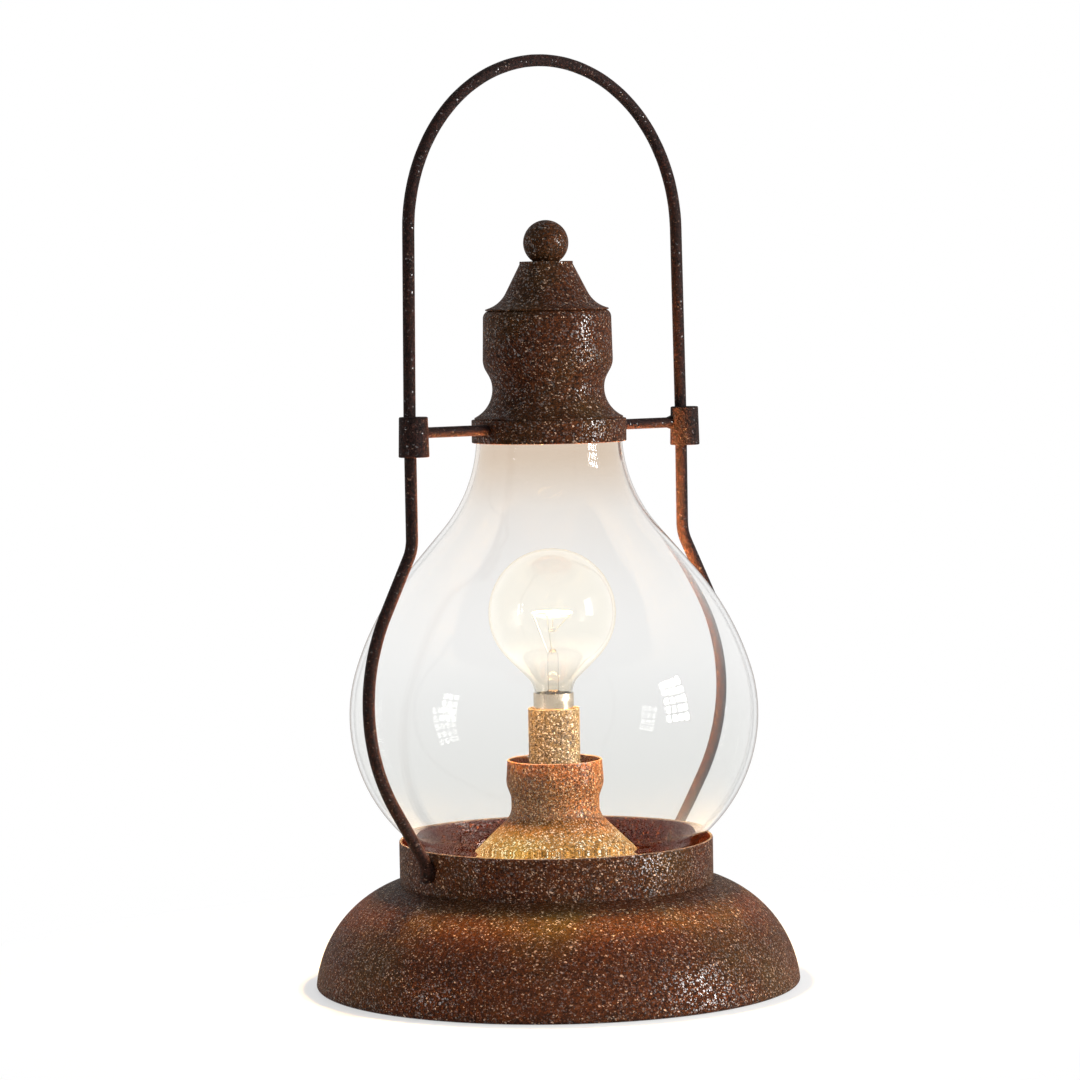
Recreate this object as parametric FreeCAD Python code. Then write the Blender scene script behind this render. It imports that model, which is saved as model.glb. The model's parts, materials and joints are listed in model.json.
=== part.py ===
import FreeCAD, Part
import math
import os

# Lantern table lamp, in millimetres.
# The origin is on the table under the lamp's axis, +Z is up, and the bail stands in the XZ plane.

# ---- Driving dimensions ----------------------------------------------------------------

# Fits that several pieces share
SLIDE_GAP = 0.3            # between a loose piece and the one it slides in
JOIN_GAP = 0.05            # between a turned piece and the hole it is fixed in
CUT_OVER = 1.0             # how far a cutting tool reaches past what it cuts

# Base: a spun dome, a collar on it and a plate that closes it from below
BASE_R = 151.5             # widest radius of the dome
BASE_H = 64.9              # top of the dome above the table
BASE_WALL = 1.5
BASE_EDGE_R = 2.0          # rounding where the dome turns under
BASE_SLOPE = 16.0          # degrees, fall of the dome where it leaves the collar
CREASE_R = 2.5             # bend between the dome's flat top and its flank
REBATE_OUTER_R = 2.0       # the two bends of the joggle that takes the cover
REBATE_INNER_R = 0.5       # also the gap round the cover
FLANGE_W = 14.0            # ledge inside the dome that the cover is screwed to
COLLAR_R = 98.2
COLLAR_H = 26.7
COLLAR_WALL = 1.6

# Underside
COVER_T = 1.5
FELT_T = 1.5
FELT_R = 10.0
FELT_COUNT = 4
FELT_INSET = 24.0          # from the cover's edge to a felt's centre
SCREW_COUNT = 3
SCREW_R = 1.5
SCREW_HEAD_R = 3.0
SCREW_LEN = 7.0
SCREW_HOLE_R = 1.7

# Cord inlet in the dome's flank, at the back
GLAND_H = 24.0             # height of its centre
GLAND_HOLE_R = 5.0
GLAND_BORE_R = 3.4
GLAND_FLANGE_R = 7.5
GLAND_FLANGE_T = 1.4
GLAND_BACK_GAP = 0.1       # between the dome's inside and the inner flange's edge

# Glass globe, outer surface
GLASS_R = 127.6            # equator
GLASS_WALL = 2.5
GLASS_FOOT_INSET = 16.7    # of the foot's outer face inside the collar's outer face
GLASS_FOOT_LEN = 1.2
GLASS_FOOT_BEND_R = 31.7
GLASS_BELLY_R = 101.3      # below the equator
GLASS_SIDE_R = 98.2        # just above the equator
GLASS_SIDE_TURN = 17.2
GLASS_SHOULDER_R = 175.3
GLASS_SHOULDER_TURN = 23.4
GLASS_THROAT_R = 91.0      # hollow curve up to the neck
GLASS_NECK_R = 45.3
GLASS_NECK_LEN = 5.5
GLASS_DIVISION = 80.0      # above the equator, where its bowl ends and its shoulder begins
GASKET_T = 1.5
GASKET_W = 9.0

# Pedestal in the middle of the base
PED_WALL = 1.2
PED_WAIST_R = 27.6
PED_SKIRT_H = 46.3         # from the dome's top to where the waist starts
PED_FOOT_GAP = 6.82        # between the skirt's foot and the glass's gasket
PED_SKIRT_BEND_R = 12.0
PED_WAIST_H = 5.0
PED_LIP_TURN = 20.0        # degrees that the wall leans out above the waist
PED_LIP_BEND_R = 8.0
PED_LIP_RUN = 4.5
PED_BULGE_R = 14.0
PED_RIM_TURN = 4.0         # degrees that the mouth leans in again
PED_RIM_H = 11.5
PED_WEB_DROP = 22.0        # from the mouth down to the web that carries the holder
PED_WEB_T = 1.5

# Threaded tube with its nuts and washer
NIPPLE_R = 4.9
NIPPLE_WALL = 1.3
NIPPLE_TAIL = 12.0         # below the dome's top plate
NIPPLE_HOLE_GAP = 0.4      # around the tube, in the sheets it goes through
NUT_R = 8.1                # across corners
NUT_H = 5.0
WASHER_R = 14.0
WASHER_T = 1.5

# Lampholder, its sleeve and the bulb
SLEEVE_WALL = 1.0
SLEEVE_RISE = 32.8         # above the pedestal's mouth
HOLDER_WALL = 0.8
HOLDER_HUB_H = 14.0
NIPPLE_END_GAP = 2.0       # above the tube's end inside the hub
HOLDER_TOP_DROP = 1.0      # below the sleeve's top
SHELL_WALL = 0.4
SHELL_TOP_DROP = 2.0       # below the holder's top
CONTACT_R = 4.5
CONTACT_T = 1.2
CAP_THREAD_R = 13.0
CAP_THREAD_GAP = 0.55      # between the thread's ridges and the holder's screw shell
CAP_RIDGE = 0.7            # depth of the thread
CAP_PITCH = 3.6
CAP_TURNS = 4
CAP_WALL = 0.35
CAP_COLLAR_DROP = 0.3      # of the collar's face under the thread's ridges
CAP_COLLAR_H = 10.0
CAP_SHOWN = 9.4            # above the sleeve's top
CAP_TAPER_H = 2.5
TIP_R = 3.2
INSULATOR_FOOT_R = 4.2
TIP_H = 1.6
BULB_R = 39.7
BULB_WALL = 0.8
BULB_NECK_LEN = 6.0
BULB_NECK_BEND_R = 14.0
BULB_FLANK_SLOPE = 45.0    # degrees, of the flank between neck and globe
STEM_R = 3.4
STEM_H = 30.0
STEM_ROD_R = 1.4
STEM_ROD_H = 14.0
STEM_BUTTON_R = 2.4
STEM_EDGE = 1.0            # flare's edge, and each step of the button
FILAMENT_R = 12.0
FILAMENT_WIRE_R = 0.5
FILAMENT_TURN = 290.0
LEAD_WIRE_R = 0.35
LEAD_SPREAD = 2.0          # from the stem's axis, each way
HOOK_ANGLES = (-50.0, 50.0)

# Ring round the glass neck
NECK_SIDE_GAP = 0.7        # between the neck and the ring round it
RING_WALL = 2.2
RING_H = 14.3
RING_LIP_T = 1.5
MOUTH_INSET = 1.6          # of the opening in the lip, inside the neck's inner face
NECK_TOP_GAP = 0.3         # between the neck's rim and the lip over it

# Chimney cap: body, spigot, crown and ball
CAP_BODY_WALL = 1.2
CAP_FOOT_INSET = 1.9       # of the foot's outer edge, inside the ring's outer face
CAP_LIP_REACH = 0.3        # of the foot's inner edge, past the spigot's inner face
CAP_FLARE_R = 19.8
CAP_FLARE_TURN = 65.0
CAP_WAIST_TURN = 30.0
CAP_WAIST_BEND_R = 17.0
CAP_DRUM_BEND_R = 14.0
CAP_DRUM_INSET = 5.8       # of the drum, inside the foot's outer edge
CAP_DRUM_SLOPE = 1.3
CAP_DRUM_H = 25.5
CAP_SHOULDER_R = 5.0
CAP_SHOULDER_TURN = 75.0
CAP_SHOULDER_W = 4.0
SPIGOT_LEN = 9.0
SPIGOT_WALL = 0.9
CROWN_INSET = 2.5          # of the crown's edge, inside the drum
CROWN_SLOPE = 117.0
CROWN_BEND_R = 19.0
CROWN_TOP_R = 16.6
CROWN_RIM_H = 1.6
CROWN_RIM_BEND_R = 0.5
BALL_R = 14.1
BALL_FLAT_DROP = 11.5      # from the ball's centre to its flat foot
STUD_R = 2.5
STUD_HOLE_GAP = 0.2        # around the stud, in the crown
STUD_TAIL = 9.0
STUD_DEPTH = 12.0          # of the ball's bore
STUD_END_GAP = 1.0
FINIAL_NUT_R = 4.6
FINIAL_NUT_H = 4.0

# Wire frame
WIRE_R = 3.75
POST_INSET = 19.9          # the uprights stand this far inside the widest radius of the glass
ARM_R = 3.3
ARM_DROP = 5.5             # below the ring's top
ARM_WELD_R = 5.2
ARM_WELD_LEN = 6.0
FERRULE_TOP_R = 8.8
FERRULE_FOOT_R = 9.4
FERRULE_H = 24.5
FERRULE_RISE = 10.0        # above the arm's axis
FERRULE_SHIFT = 3.75       # the bore lies this far behind the ferrule's centre
FERRULE_EDGE = 0.8
WIRE_END_GAP = 1.0         # between the two wire ends inside a ferrule
BAIL_TAPER = 1.7           # how much smaller the arch's radius is than the legs' distance
BAIL_RISE = 121.4          # from the arms up to the arch's centre
BAIL_FOOT_BEND_R = 60.0    # slight bend where the legs leave the ferrules
GUARD_GAP = 11.2           # between the glass and the wire at its widest
GUARD_WIDEST = 15.0        # above the glass's equator
GUARD_TOP_RUN = 37.7       # straight wire above the bow
GUARD_FOOT_RUN = 35.7      # straight wire below the bow
GUARD_LEG = 49.7           # upright wire under the ferrule
GUARD_FOOT_RISE = 14.3     # above the dome's top, where the wire stands upright again
GUARD_TOP_BEND_R = 25.0
GUARD_FOOT_BEND_R = 20.0
GUARD_END_H = 8.5          # the wire's end above the dome's top
WELD_W = 5.0               # weld between the wire's end and the collar
WELD_H = 9.0

# ---- Levels and radii that follow from them ---------------------------------------------

FELT_TOP = FELT_T
DOME_FOOT = FELT_TOP + COVER_T - REBATE_OUTER_R - REBATE_INNER_R
COLLAR_TOP = BASE_H + COLLAR_H

GLASS_FOOT_R = COLLAR_R - GLASS_FOOT_INSET
FOOT_TURN = math.degrees(math.acos(1 - (GLASS_R - GLASS_FOOT_R) / (GLASS_BELLY_R + GLASS_FOOT_BEND_R)))
GLASS_FOOT = BASE_H + GASKET_T
EQUATOR = (GLASS_FOOT + GLASS_FOOT_LEN
           + (GLASS_BELLY_R + GLASS_FOOT_BEND_R) * math.sin(math.radians(FOOT_TURN)))

NIPPLE_BORE_R = NIPPLE_R - NIPPLE_WALL
NIPPLE_HOLE_R = NIPPLE_R + NIPPLE_HOLE_GAP
CAP_GROOVE_R = CAP_THREAD_R - CAP_RIDGE
CAP_COLLAR_R = CAP_THREAD_R - CAP_COLLAR_DROP
SHELL_R = CAP_THREAD_R + CAP_THREAD_GAP + SHELL_WALL
HOLDER_R = SHELL_R + JOIN_GAP + HOLDER_WALL
SLEEVE_R = HOLDER_R + SLIDE_GAP + SLEEVE_WALL

RING_R = GLASS_NECK_R + NECK_SIDE_GAP + RING_WALL
RING_MOUTH_R = GLASS_NECK_R - GLASS_WALL - MOUTH_INSET
SPIGOT_R = RING_MOUTH_R - SLIDE_GAP
CAP_FOOT_R = RING_R - CAP_FOOT_INSET
CAP_FOOT_LIP_R = SPIGOT_R - SPIGOT_WALL - CAP_LIP_REACH
CAP_DRUM_R = CAP_FOOT_R - CAP_DRUM_INSET
CROWN_R = CAP_DRUM_R - CROWN_INSET

POST_R = GLASS_R - POST_INSET
BAIL_R = POST_R - BAIL_TAPER
GUARD_WIDEST_R = GLASS_R + GUARD_GAP + WIRE_R
GUARD_WIDEST_Z = EQUATOR + GUARD_WIDEST

AXIS = FreeCAD.Vector(0, 0, 1)


def sin(degrees):
    return math.sin(math.radians(degrees))


def cos(degrees):
    return math.cos(math.radians(degrees))


# ---- Drawing helpers ----------------------------------------------------------------------

def point(x, z):
    return FreeCAD.Vector(x, 0, z)


def ahead(angle):
    return point(cos(angle), sin(angle))


def left_of(angle):
    return point(-sin(angle), cos(angle))


def track(start, angle, moves, inset=0.0):
    """Edges drawn in the XZ plane like a walk: (length,) runs straight, (radius, turn) bends.

    A positive turn goes left. An inset draws the parallel line that far to the left.
    Returns the edges, the last place and the last direction.
    """
    place = point(*start) + left_of(angle) * inset
    edges = []
    for move in moves:
        if len(move) == 1:
            after = place + ahead(angle) * move[0]
            edges.append(Part.LineSegment(place, after).toShape())
        else:
            radius, turn = move
            side = math.copysign(1, turn)
            bend = radius - side * inset
            centre = place + left_of(angle) * (side * bend)
            middle = centre - left_of(angle + turn / 2) * (side * bend)
            after = centre - left_of(angle + turn) * (side * bend)
            edges.append(Part.Arc(place, middle, after).toShape())
            angle += turn
        place = after
    return edges, place, angle


def closing_edge(first, last, outward, rounded):
    """The end of a wall, flat or rounded over."""
    if not rounded:
        return Part.LineSegment(first, last).toShape()
    tip = (first + last) * 0.5 + outward * ((first - last).Length / 2)
    return Part.Arc(first, tip, last).toShape()


def spin(edges):
    """A solid of revolution about the lamp's axis from a closed outline."""
    outline = Part.Wire(Part.__sortEdges__(edges))
    return Part.Face(outline).revolve(FreeCAD.Vector(), AXIS, 360)


def spun_shell(start, angle, moves, wall, round_start=False, round_end=False):
    """A thin wall that follows a walk, with its thickness to the left for a positive wall."""
    outer, outer_end, last_angle = track(start, angle, moves)
    inner, inner_end, _ = track(start, angle, moves, wall)
    inner_start = point(*start) + left_of(angle) * wall
    ends = [closing_edge(point(*start), inner_start, ahead(angle) * -1, round_start),
            closing_edge(outer_end, inner_end, ahead(last_angle), round_end)]
    return spin(outer + inner + ends)


def spun_outline(corners):
    """A solid of revolution from straight edges through (radius, height) corners."""
    places = [point(*corner) for corner in corners]
    return spin([Part.LineSegment(a, b).toShape() for a, b in zip(places, places[1:] + places[:1])])


def ring(inner_r, outer_r, low, high):
    return spun_outline([(inner_r, low), (outer_r, low), (outer_r, high), (inner_r, high)])


def rod(radius, low, high, x=0.0, y=0.0):
    return Part.makeCylinder(radius, high - low, FreeCAD.Vector(x, y, low), AXIS)


def hex_nut(corner_r, bore_r, low, high):
    corners = [FreeCAD.Vector(corner_r * cos(60 * k), corner_r * sin(60 * k), low) for k in range(7)]
    prism = Part.Face(Part.makePolygon(corners)).extrude(AXIS * (high - low))
    return prism.cut(rod(bore_r, low - CUT_OVER, high + CUT_OVER))


def around(radius, count, first=0.0):
    """Places evenly spread on a circle."""
    return [(radius * cos(first + 360 * k / count), radius * sin(first + 360 * k / count))
            for k in range(count)]


def tube_along(edges, radius):
    """A round wire along tangent edges."""
    path = Part.Wire(edges)
    start = edges[0].valueAt(edges[0].FirstParameter)
    direction = edges[0].tangentAt(edges[0].FirstParameter)
    section = Part.Wire(Part.makeCircle(radius, start, direction))
    return path.makePipeShell([section], True, False)


def mirrored(shape):
    return shape.mirror(FreeCAD.Vector(), FreeCAD.Vector(1, 0, 0))


# ---- Base ---------------------------------------------------------------------------------

def dome_flank():
    """Radius, turn and centre of the arc that joins the crease to the rounded edge below."""
    heading = -BASE_SLOPE
    corner_centre = point(COLLAR_R, BASE_H - CREASE_R)
    crease_end = corner_centre + left_of(heading) * CREASE_R
    edge_centre = point(BASE_R - BASE_EDGE_R, DOME_FOOT + BASE_EDGE_R)
    to_start = crease_end - edge_centre
    into = left_of(heading) * -1
    reach = to_start.dot(into) + BASE_EDGE_R
    radius = (to_start.dot(to_start) - BASE_EDGE_R ** 2) / (-2 * reach)
    centre = crease_end + into * radius
    last = edge_centre - centre
    turn = (90 + heading) - math.degrees(math.atan2(last.z, last.x))
    return radius, turn, centre


def rebate_edge_r():
    """Radius where the joggle in the dome's underside ends and its flat ledge begins."""
    return BASE_R - BASE_EDGE_R - REBATE_OUTER_R - REBATE_INNER_R


def base_dome():
    radius, turn, centre = dome_flank()
    moves = [(COLLAR_R - NIPPLE_HOLE_R,),
             (CREASE_R, -BASE_SLOPE),
             (radius, -turn),
             (BASE_EDGE_R, -(180 - BASE_SLOPE - turn)),
             (REBATE_OUTER_R, -90.0),
             (REBATE_INNER_R, 90.0),
             (FLANGE_W,)]
    dome = spun_shell((NIPPLE_HOLE_R, BASE_H), 0.0, moves, -BASE_WALL)
    for x, y in screw_places():
        dome = dome.cut(rod(SCREW_R + JOIN_GAP, 0, BASE_H / 2, x, y))
    place, outward = gland_place()
    drill = Part.makeCylinder(GLAND_HOLE_R, 4 * BASE_WALL, place - outward * (2 * BASE_WALL), outward)
    return dome.cut(drill)


def gland_place():
    """Where the cord inlet's axis meets the dome's outer face, and its direction."""
    radius, _, centre = dome_flank()
    rise = math.degrees(math.asin((GLAND_H - centre.z) / radius))
    outward = FreeCAD.Vector(0, cos(rise), sin(rise))
    return FreeCAD.Vector(0, centre.x, centre.z) + outward * radius, outward


def gland_back():
    """How far the inner flange stands behind the dome's outer face, with room for the dome's curve."""
    radius, _, _ = dome_flank()
    inner_r = radius - BASE_WALL
    bulge = inner_r - math.sqrt(inner_r ** 2 - GLAND_FLANGE_R ** 2)
    return -(BASE_WALL + bulge + GLAND_BACK_GAP)


def cord_gland():
    place, outward = gland_place()

    def disc(radius, first, last):
        return Part.makeCylinder(radius, last - first, place + outward * first, outward)

    back = gland_back()
    body = disc(GLAND_HOLE_R - JOIN_GAP, back, GLAND_FLANGE_T)
    body = body.fuse([disc(GLAND_FLANGE_R, 0, GLAND_FLANGE_T),
                      disc(GLAND_FLANGE_R, back - GLAND_FLANGE_T, back)])
    bore = disc(GLAND_BORE_R, back - 2 * GLAND_FLANGE_T, 2 * GLAND_FLANGE_T)
    return body.removeSplitter().cut(bore)


def base_collar():
    return spun_shell((COLLAR_R, BASE_H), 90.0, [(COLLAR_H - COLLAR_WALL / 2,)], COLLAR_WALL,
                      round_end=True)


def cover_r():
    return rebate_edge_r()


def screw_places():
    return around(rebate_edge_r() - FLANGE_W / 2, SCREW_COUNT, first=90.0)


def bottom_cover():
    cover = rod(cover_r(), FELT_TOP, FELT_TOP + COVER_T)
    for x, y in screw_places():
        cover = cover.cut(rod(SCREW_HOLE_R, 0, FELT_TOP + 2 * COVER_T, x, y))
    return cover


def cover_screws():
    """Pan-head screws up through the cover into the dome's ledge."""
    head_h = FELT_T - SLIDE_GAP
    screws = []
    for x, y in screw_places():
        head = rod(SCREW_HEAD_R, FELT_TOP - head_h, FELT_TOP, x, y)
        screws.append(head.fuse(rod(SCREW_R, FELT_TOP, FELT_TOP + SCREW_LEN, x, y)).removeSplitter())
    return Part.makeCompound(screws)


def felt_feet():
    places = around(cover_r() - FELT_INSET, FELT_COUNT, first=45.0)
    return Part.makeCompound([rod(FELT_R, 0, FELT_TOP, x, y) for x, y in places])


# ---- Glass --------------------------------------------------------------------------------

def glass_walk():
    """The globe's outer line from its foot to its neck."""
    lean = GLASS_SIDE_TURN + GLASS_SHOULDER_TURN
    shoulder_end = (GLASS_R - GLASS_SIDE_R * (1 - cos(GLASS_SIDE_TURN))
                    - GLASS_SHOULDER_R * (cos(GLASS_SIDE_TURN) - cos(lean)))
    slope_run = (shoulder_end - GLASS_NECK_R - GLASS_THROAT_R * (1 - cos(lean))) / sin(lean)
    return [(GLASS_FOOT_LEN,),
            (GLASS_FOOT_BEND_R, -FOOT_TURN),
            (GLASS_BELLY_R, FOOT_TURN),
            (GLASS_SIDE_R, GLASS_SIDE_TURN),
            (GLASS_SHOULDER_R, GLASS_SHOULDER_TURN),
            (slope_run,),
            (GLASS_THROAT_R, -lean),
            (GLASS_NECK_LEN,)]


def neck_top():
    """Height of the neck's rim, whose rounding stands half a wall above the straight part."""
    _, end, _ = track((GLASS_FOOT_R, GLASS_FOOT + GLASS_WALL / 2), 90.0, glass_walk())
    return end.z + GLASS_WALL / 2


def glass_globe():
    return spun_shell((GLASS_FOOT_R, GLASS_FOOT + GLASS_WALL / 2), 90.0, glass_walk(), GLASS_WALL,
                      round_start=True, round_end=True)


def above_division():
    """A block over the level that divides the one-piece globe into two simple shells."""
    return rod(GLASS_R + CUT_OVER, EQUATOR + GLASS_DIVISION, neck_top() + CUT_OVER)


def globe_bowl():
    return glass_globe().cut(above_division())


def globe_shoulder():
    return glass_globe().common(above_division())


def glass_gasket():
    inner, outer = gasket_radii()
    return ring(inner, outer, BASE_H, GLASS_FOOT)


# ---- Pedestal and lampholder --------------------------------------------------------------

def pedestal_mouth():
    _, end, _ = pedestal_track()
    return end.z


def gasket_radii():
    middle = GLASS_FOOT_R - GLASS_WALL / 2
    return middle - GASKET_W / 2, middle + GASKET_W / 2


def pedestal_start():
    """The skirt's foot, and the slope off the vertical and length of its straight part."""
    inner, _ = gasket_radii()
    foot_r = inner - PED_FOOT_GAP
    across = foot_r - PED_WAIST_R - PED_SKIRT_BEND_R
    reach = math.hypot(across, PED_SKIRT_H)
    slope = math.degrees(math.atan2(across, PED_SKIRT_H) + math.asin(PED_SKIRT_BEND_R / reach))
    return (foot_r, BASE_H), slope, math.sqrt(reach ** 2 - PED_SKIRT_BEND_R ** 2)


def pedestal_walk():
    _, slope, skirt_run = pedestal_start()
    return [(skirt_run,),
            (PED_SKIRT_BEND_R, -slope),
            (PED_WAIST_H,),
            (PED_LIP_BEND_R, -PED_LIP_TURN),
            (PED_LIP_RUN,),
            (PED_BULGE_R, PED_LIP_TURN + PED_RIM_TURN),
            (PED_RIM_H,)]


def pedestal_track(inset=0.0):
    start, slope, _ = pedestal_start()
    return track(start, 90.0 + slope, pedestal_walk(), inset)


def pedestal_cup():
    start, slope, _ = pedestal_start()
    wall = spun_shell(start, 90.0 + slope, pedestal_walk(), PED_WALL, round_end=True)
    web = ring(NIPPLE_HOLE_R, PED_WAIST_R - PED_WALL / 2, web_top() - PED_WEB_T, web_top())
    under = rod(start[0] + PED_WALL, BASE_H - 2 * PED_WALL, BASE_H)
    return wall.cut(under).fuse(web).removeSplitter()


def web_top():
    return pedestal_mouth() - PED_WEB_DROP


def sleeve_top():
    return pedestal_mouth() + SLEEVE_RISE


def hub_foot():
    """The holder's hub stands on the upper nut."""
    return web_top() + NUT_H


def nipple_tube():
    high = hub_foot() + HOLDER_HUB_H - NIPPLE_END_GAP
    return ring(NIPPLE_BORE_R, NIPPLE_R, BASE_H - NIPPLE_TAIL, high)


def nipple_nuts():
    under = BASE_H - BASE_WALL - WASHER_T
    bore = NIPPLE_R + JOIN_GAP
    return Part.makeCompound([hex_nut(NUT_R, bore, under - NUT_H, under),
                              hex_nut(NUT_R, bore, web_top(), hub_foot())])


def nipple_washer():
    return ring(NIPPLE_HOLE_R, WASHER_R, BASE_H - BASE_WALL - WASHER_T, BASE_H - BASE_WALL)


def socket_sleeve():
    low = web_top()
    return spun_shell((SLEEVE_R, low), 90.0, [(sleeve_top() - low - SLEEVE_WALL / 2,)], SLEEVE_WALL,
                      round_end=True)


def holder_top():
    return sleeve_top() - HOLDER_TOP_DROP


def holder_floor():
    """The face inside the holder that carries the centre contact."""
    return cap_tip() - SLIDE_GAP - CONTACT_T


def holder_body():
    cup = rod(HOLDER_R, hub_foot(), holder_top())
    cup = cup.cut(rod(HOLDER_R - HOLDER_WALL, holder_floor(), holder_top() + CUT_OVER))
    return cup.cut(rod(NIPPLE_R + JOIN_GAP, hub_foot() - CUT_OVER, hub_foot() + HOLDER_HUB_H))


def holder_screw_shell():
    top = holder_top() - SHELL_TOP_DROP
    return ring(SHELL_R - SHELL_WALL, SHELL_R, holder_floor() + JOIN_GAP, top)


def holder_contact():
    return rod(CONTACT_R, holder_floor(), holder_floor() + CONTACT_T)


# ---- Bulb ---------------------------------------------------------------------------------

def cap_top():
    return sleeve_top() + CAP_SHOWN


def thread_top():
    return cap_top() - CAP_COLLAR_H


def thread_foot():
    return thread_top() - CAP_TURNS * CAP_PITCH


def cap_tip():
    return thread_foot() - CAP_TAPER_H - TIP_H


def bulb_cap():
    """Rolled metal cap: a plain collar over round thread ridges, open at both ends."""
    swell = (CAP_THREAD_R - CAP_GROOVE_R) / 2
    middle = CAP_THREAD_R - swell
    edges = [Part.LineSegment(point(CAP_COLLAR_R, cap_top()), point(CAP_COLLAR_R, thread_top())).toShape(),
             Part.LineSegment(point(CAP_COLLAR_R, thread_top()), point(middle, thread_top())).toShape()]
    for turn in range(CAP_TURNS):
        high = thread_top() - turn * CAP_PITCH
        for reach, first in ((-swell, high), (swell, high - CAP_PITCH / 2)):
            last = first - CAP_PITCH / 2
            edges.append(Part.Arc(point(middle, first), point(middle + reach, (first + last) / 2),
                                  point(middle, last)).toShape())
    bore = CAP_GROOVE_R - CAP_WALL
    corners = [point(middle, thread_foot()), point(bore, thread_foot()), point(bore, cap_top()),
               point(CAP_COLLAR_R, cap_top())]
    edges += [Part.LineSegment(a, b).toShape() for a, b in zip(corners, corners[1:])]
    return spin(edges)


def bulb_insulator():
    """Glass button that closes the cap's foot and holds the solder tip."""
    bore = CAP_GROOVE_R - CAP_WALL
    low = thread_foot() - CAP_TAPER_H
    return spun_outline([(0, low), (INSULATOR_FOOT_R, low), (bore, thread_foot()),
                         (bore, thread_foot() + CAP_TAPER_H), (0, thread_foot() + CAP_TAPER_H)])


def bulb_tip():
    low = thread_foot() - CAP_TAPER_H
    return spun_outline([(0, low - TIP_H), (TIP_R / 2, low - TIP_H), (TIP_R, low), (0, low)])


def neck_foot():
    return cap_top() - BULB_NECK_LEN


def neck_r():
    return CAP_GROOVE_R - CAP_WALL - JOIN_GAP


def bulb_walk():
    """From the neck inside the cap to the top of the globe, and the globe's centre height."""
    slope = 90 - BULB_FLANK_SLOPE
    flank_start = neck_r() + BULB_NECK_BEND_R * (1 - cos(slope))
    flank = (BULB_R * cos(slope) - flank_start) / sin(slope)
    centre = (neck_foot() + BULB_NECK_LEN + BULB_NECK_BEND_R * sin(slope) + flank * cos(slope)
              + BULB_R * sin(slope))
    moves = [(BULB_NECK_LEN,),
             (BULB_NECK_BEND_R, -slope),
             (flank,),
             (BULB_R, 90 + slope)]
    return moves, centre


def bulb_glass():
    moves, centre = bulb_walk()
    start = (neck_r(), neck_foot())
    outer, _, _ = track(start, 90.0, moves)
    inner, _, _ = track(start, 90.0, moves, BULB_WALL)
    crown = centre + BULB_R
    ends = [Part.LineSegment(point(*start), point(neck_r() - BULB_WALL, neck_foot())).toShape(),
            Part.LineSegment(point(0, crown), point(0, crown - BULB_WALL)).toShape()]
    return spin(outer + inner + ends)


def bulb_stem():
    """Glass mount: a flare joined to the neck, a tube, a rod and its button."""
    low = neck_foot()
    flare_r = neck_r() - BULB_WALL
    flare_h = flare_r - STEM_R
    rod_low = low + STEM_H
    button_low = rod_low + STEM_ROD_H
    return spun_outline([(0, low), (flare_r, low), (flare_r, low + STEM_EDGE),
                         (STEM_R, low + flare_h), (STEM_R, rod_low),
                         (STEM_ROD_R, rod_low + STEM_R), (STEM_ROD_R, button_low),
                         (STEM_BUTTON_R, button_low + STEM_EDGE),
                         (STEM_BUTTON_R, button_low + 2 * STEM_EDGE),
                         (0, button_low + 3 * STEM_EDGE)])


def filament_level():
    _, centre = bulb_walk()
    return centre


def filament_ends():
    half = FILAMENT_TURN / 2
    return [(FILAMENT_R * cos(side * half), FILAMENT_R * sin(side * half)) for side in (-1, 1)]


def bulb_filament():
    """An open hoop of coiled wire, level in the globe's middle."""
    z = filament_level()
    (x0, y0), (x1, y1) = filament_ends()
    hoop = Part.Arc(FreeCAD.Vector(x0, y0, z), FreeCAD.Vector(FILAMENT_R, 0, z),
                    FreeCAD.Vector(x1, y1, z)).toShape()
    return tube_along([hoop], FILAMENT_WIRE_R)


def bulb_leads():
    """Two lead wires from the stem to the hoop's ends and two hooks from the button."""
    z = filament_level() - FILAMENT_WIRE_R
    low = neck_foot() + STEM_H
    runs = [(FreeCAD.Vector(-LEAD_SPREAD, side * LEAD_SPREAD, low), FreeCAD.Vector(x, y, z))
            for side, (x, y) in zip((-1, 1), filament_ends())]
    button = neck_foot() + STEM_H + STEM_ROD_H + 1.5 * STEM_EDGE
    for angle in HOOK_ANGLES:
        outward = FreeCAD.Vector(cos(angle), sin(angle), 0)
        runs.append((outward * STEM_BUTTON_R + AXIS * button, outward * FILAMENT_R + AXIS * z))
    wires = [Part.makeCylinder(LEAD_WIRE_R, (end - start).Length, start, end - start)
             for start, end in runs]
    return Part.makeCompound(wires).cut([bulb_stem(), bulb_filament()])


# ---- Ring and chimney cap -----------------------------------------------------------------

def ring_top():
    return neck_top() + NECK_TOP_GAP + RING_LIP_T


def cap_ring():
    top = ring_top()
    inner = RING_R - RING_WALL
    return spun_outline([(inner, top - RING_H), (RING_R, top - RING_H), (RING_R, top),
                         (RING_MOUTH_R, top), (RING_MOUTH_R, top - RING_LIP_T),
                         (inner, top - RING_LIP_T)])


def cap_spigot():
    return ring(SPIGOT_R - SPIGOT_WALL, SPIGOT_R, ring_top() - SPIGOT_LEN, ring_top())


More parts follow.
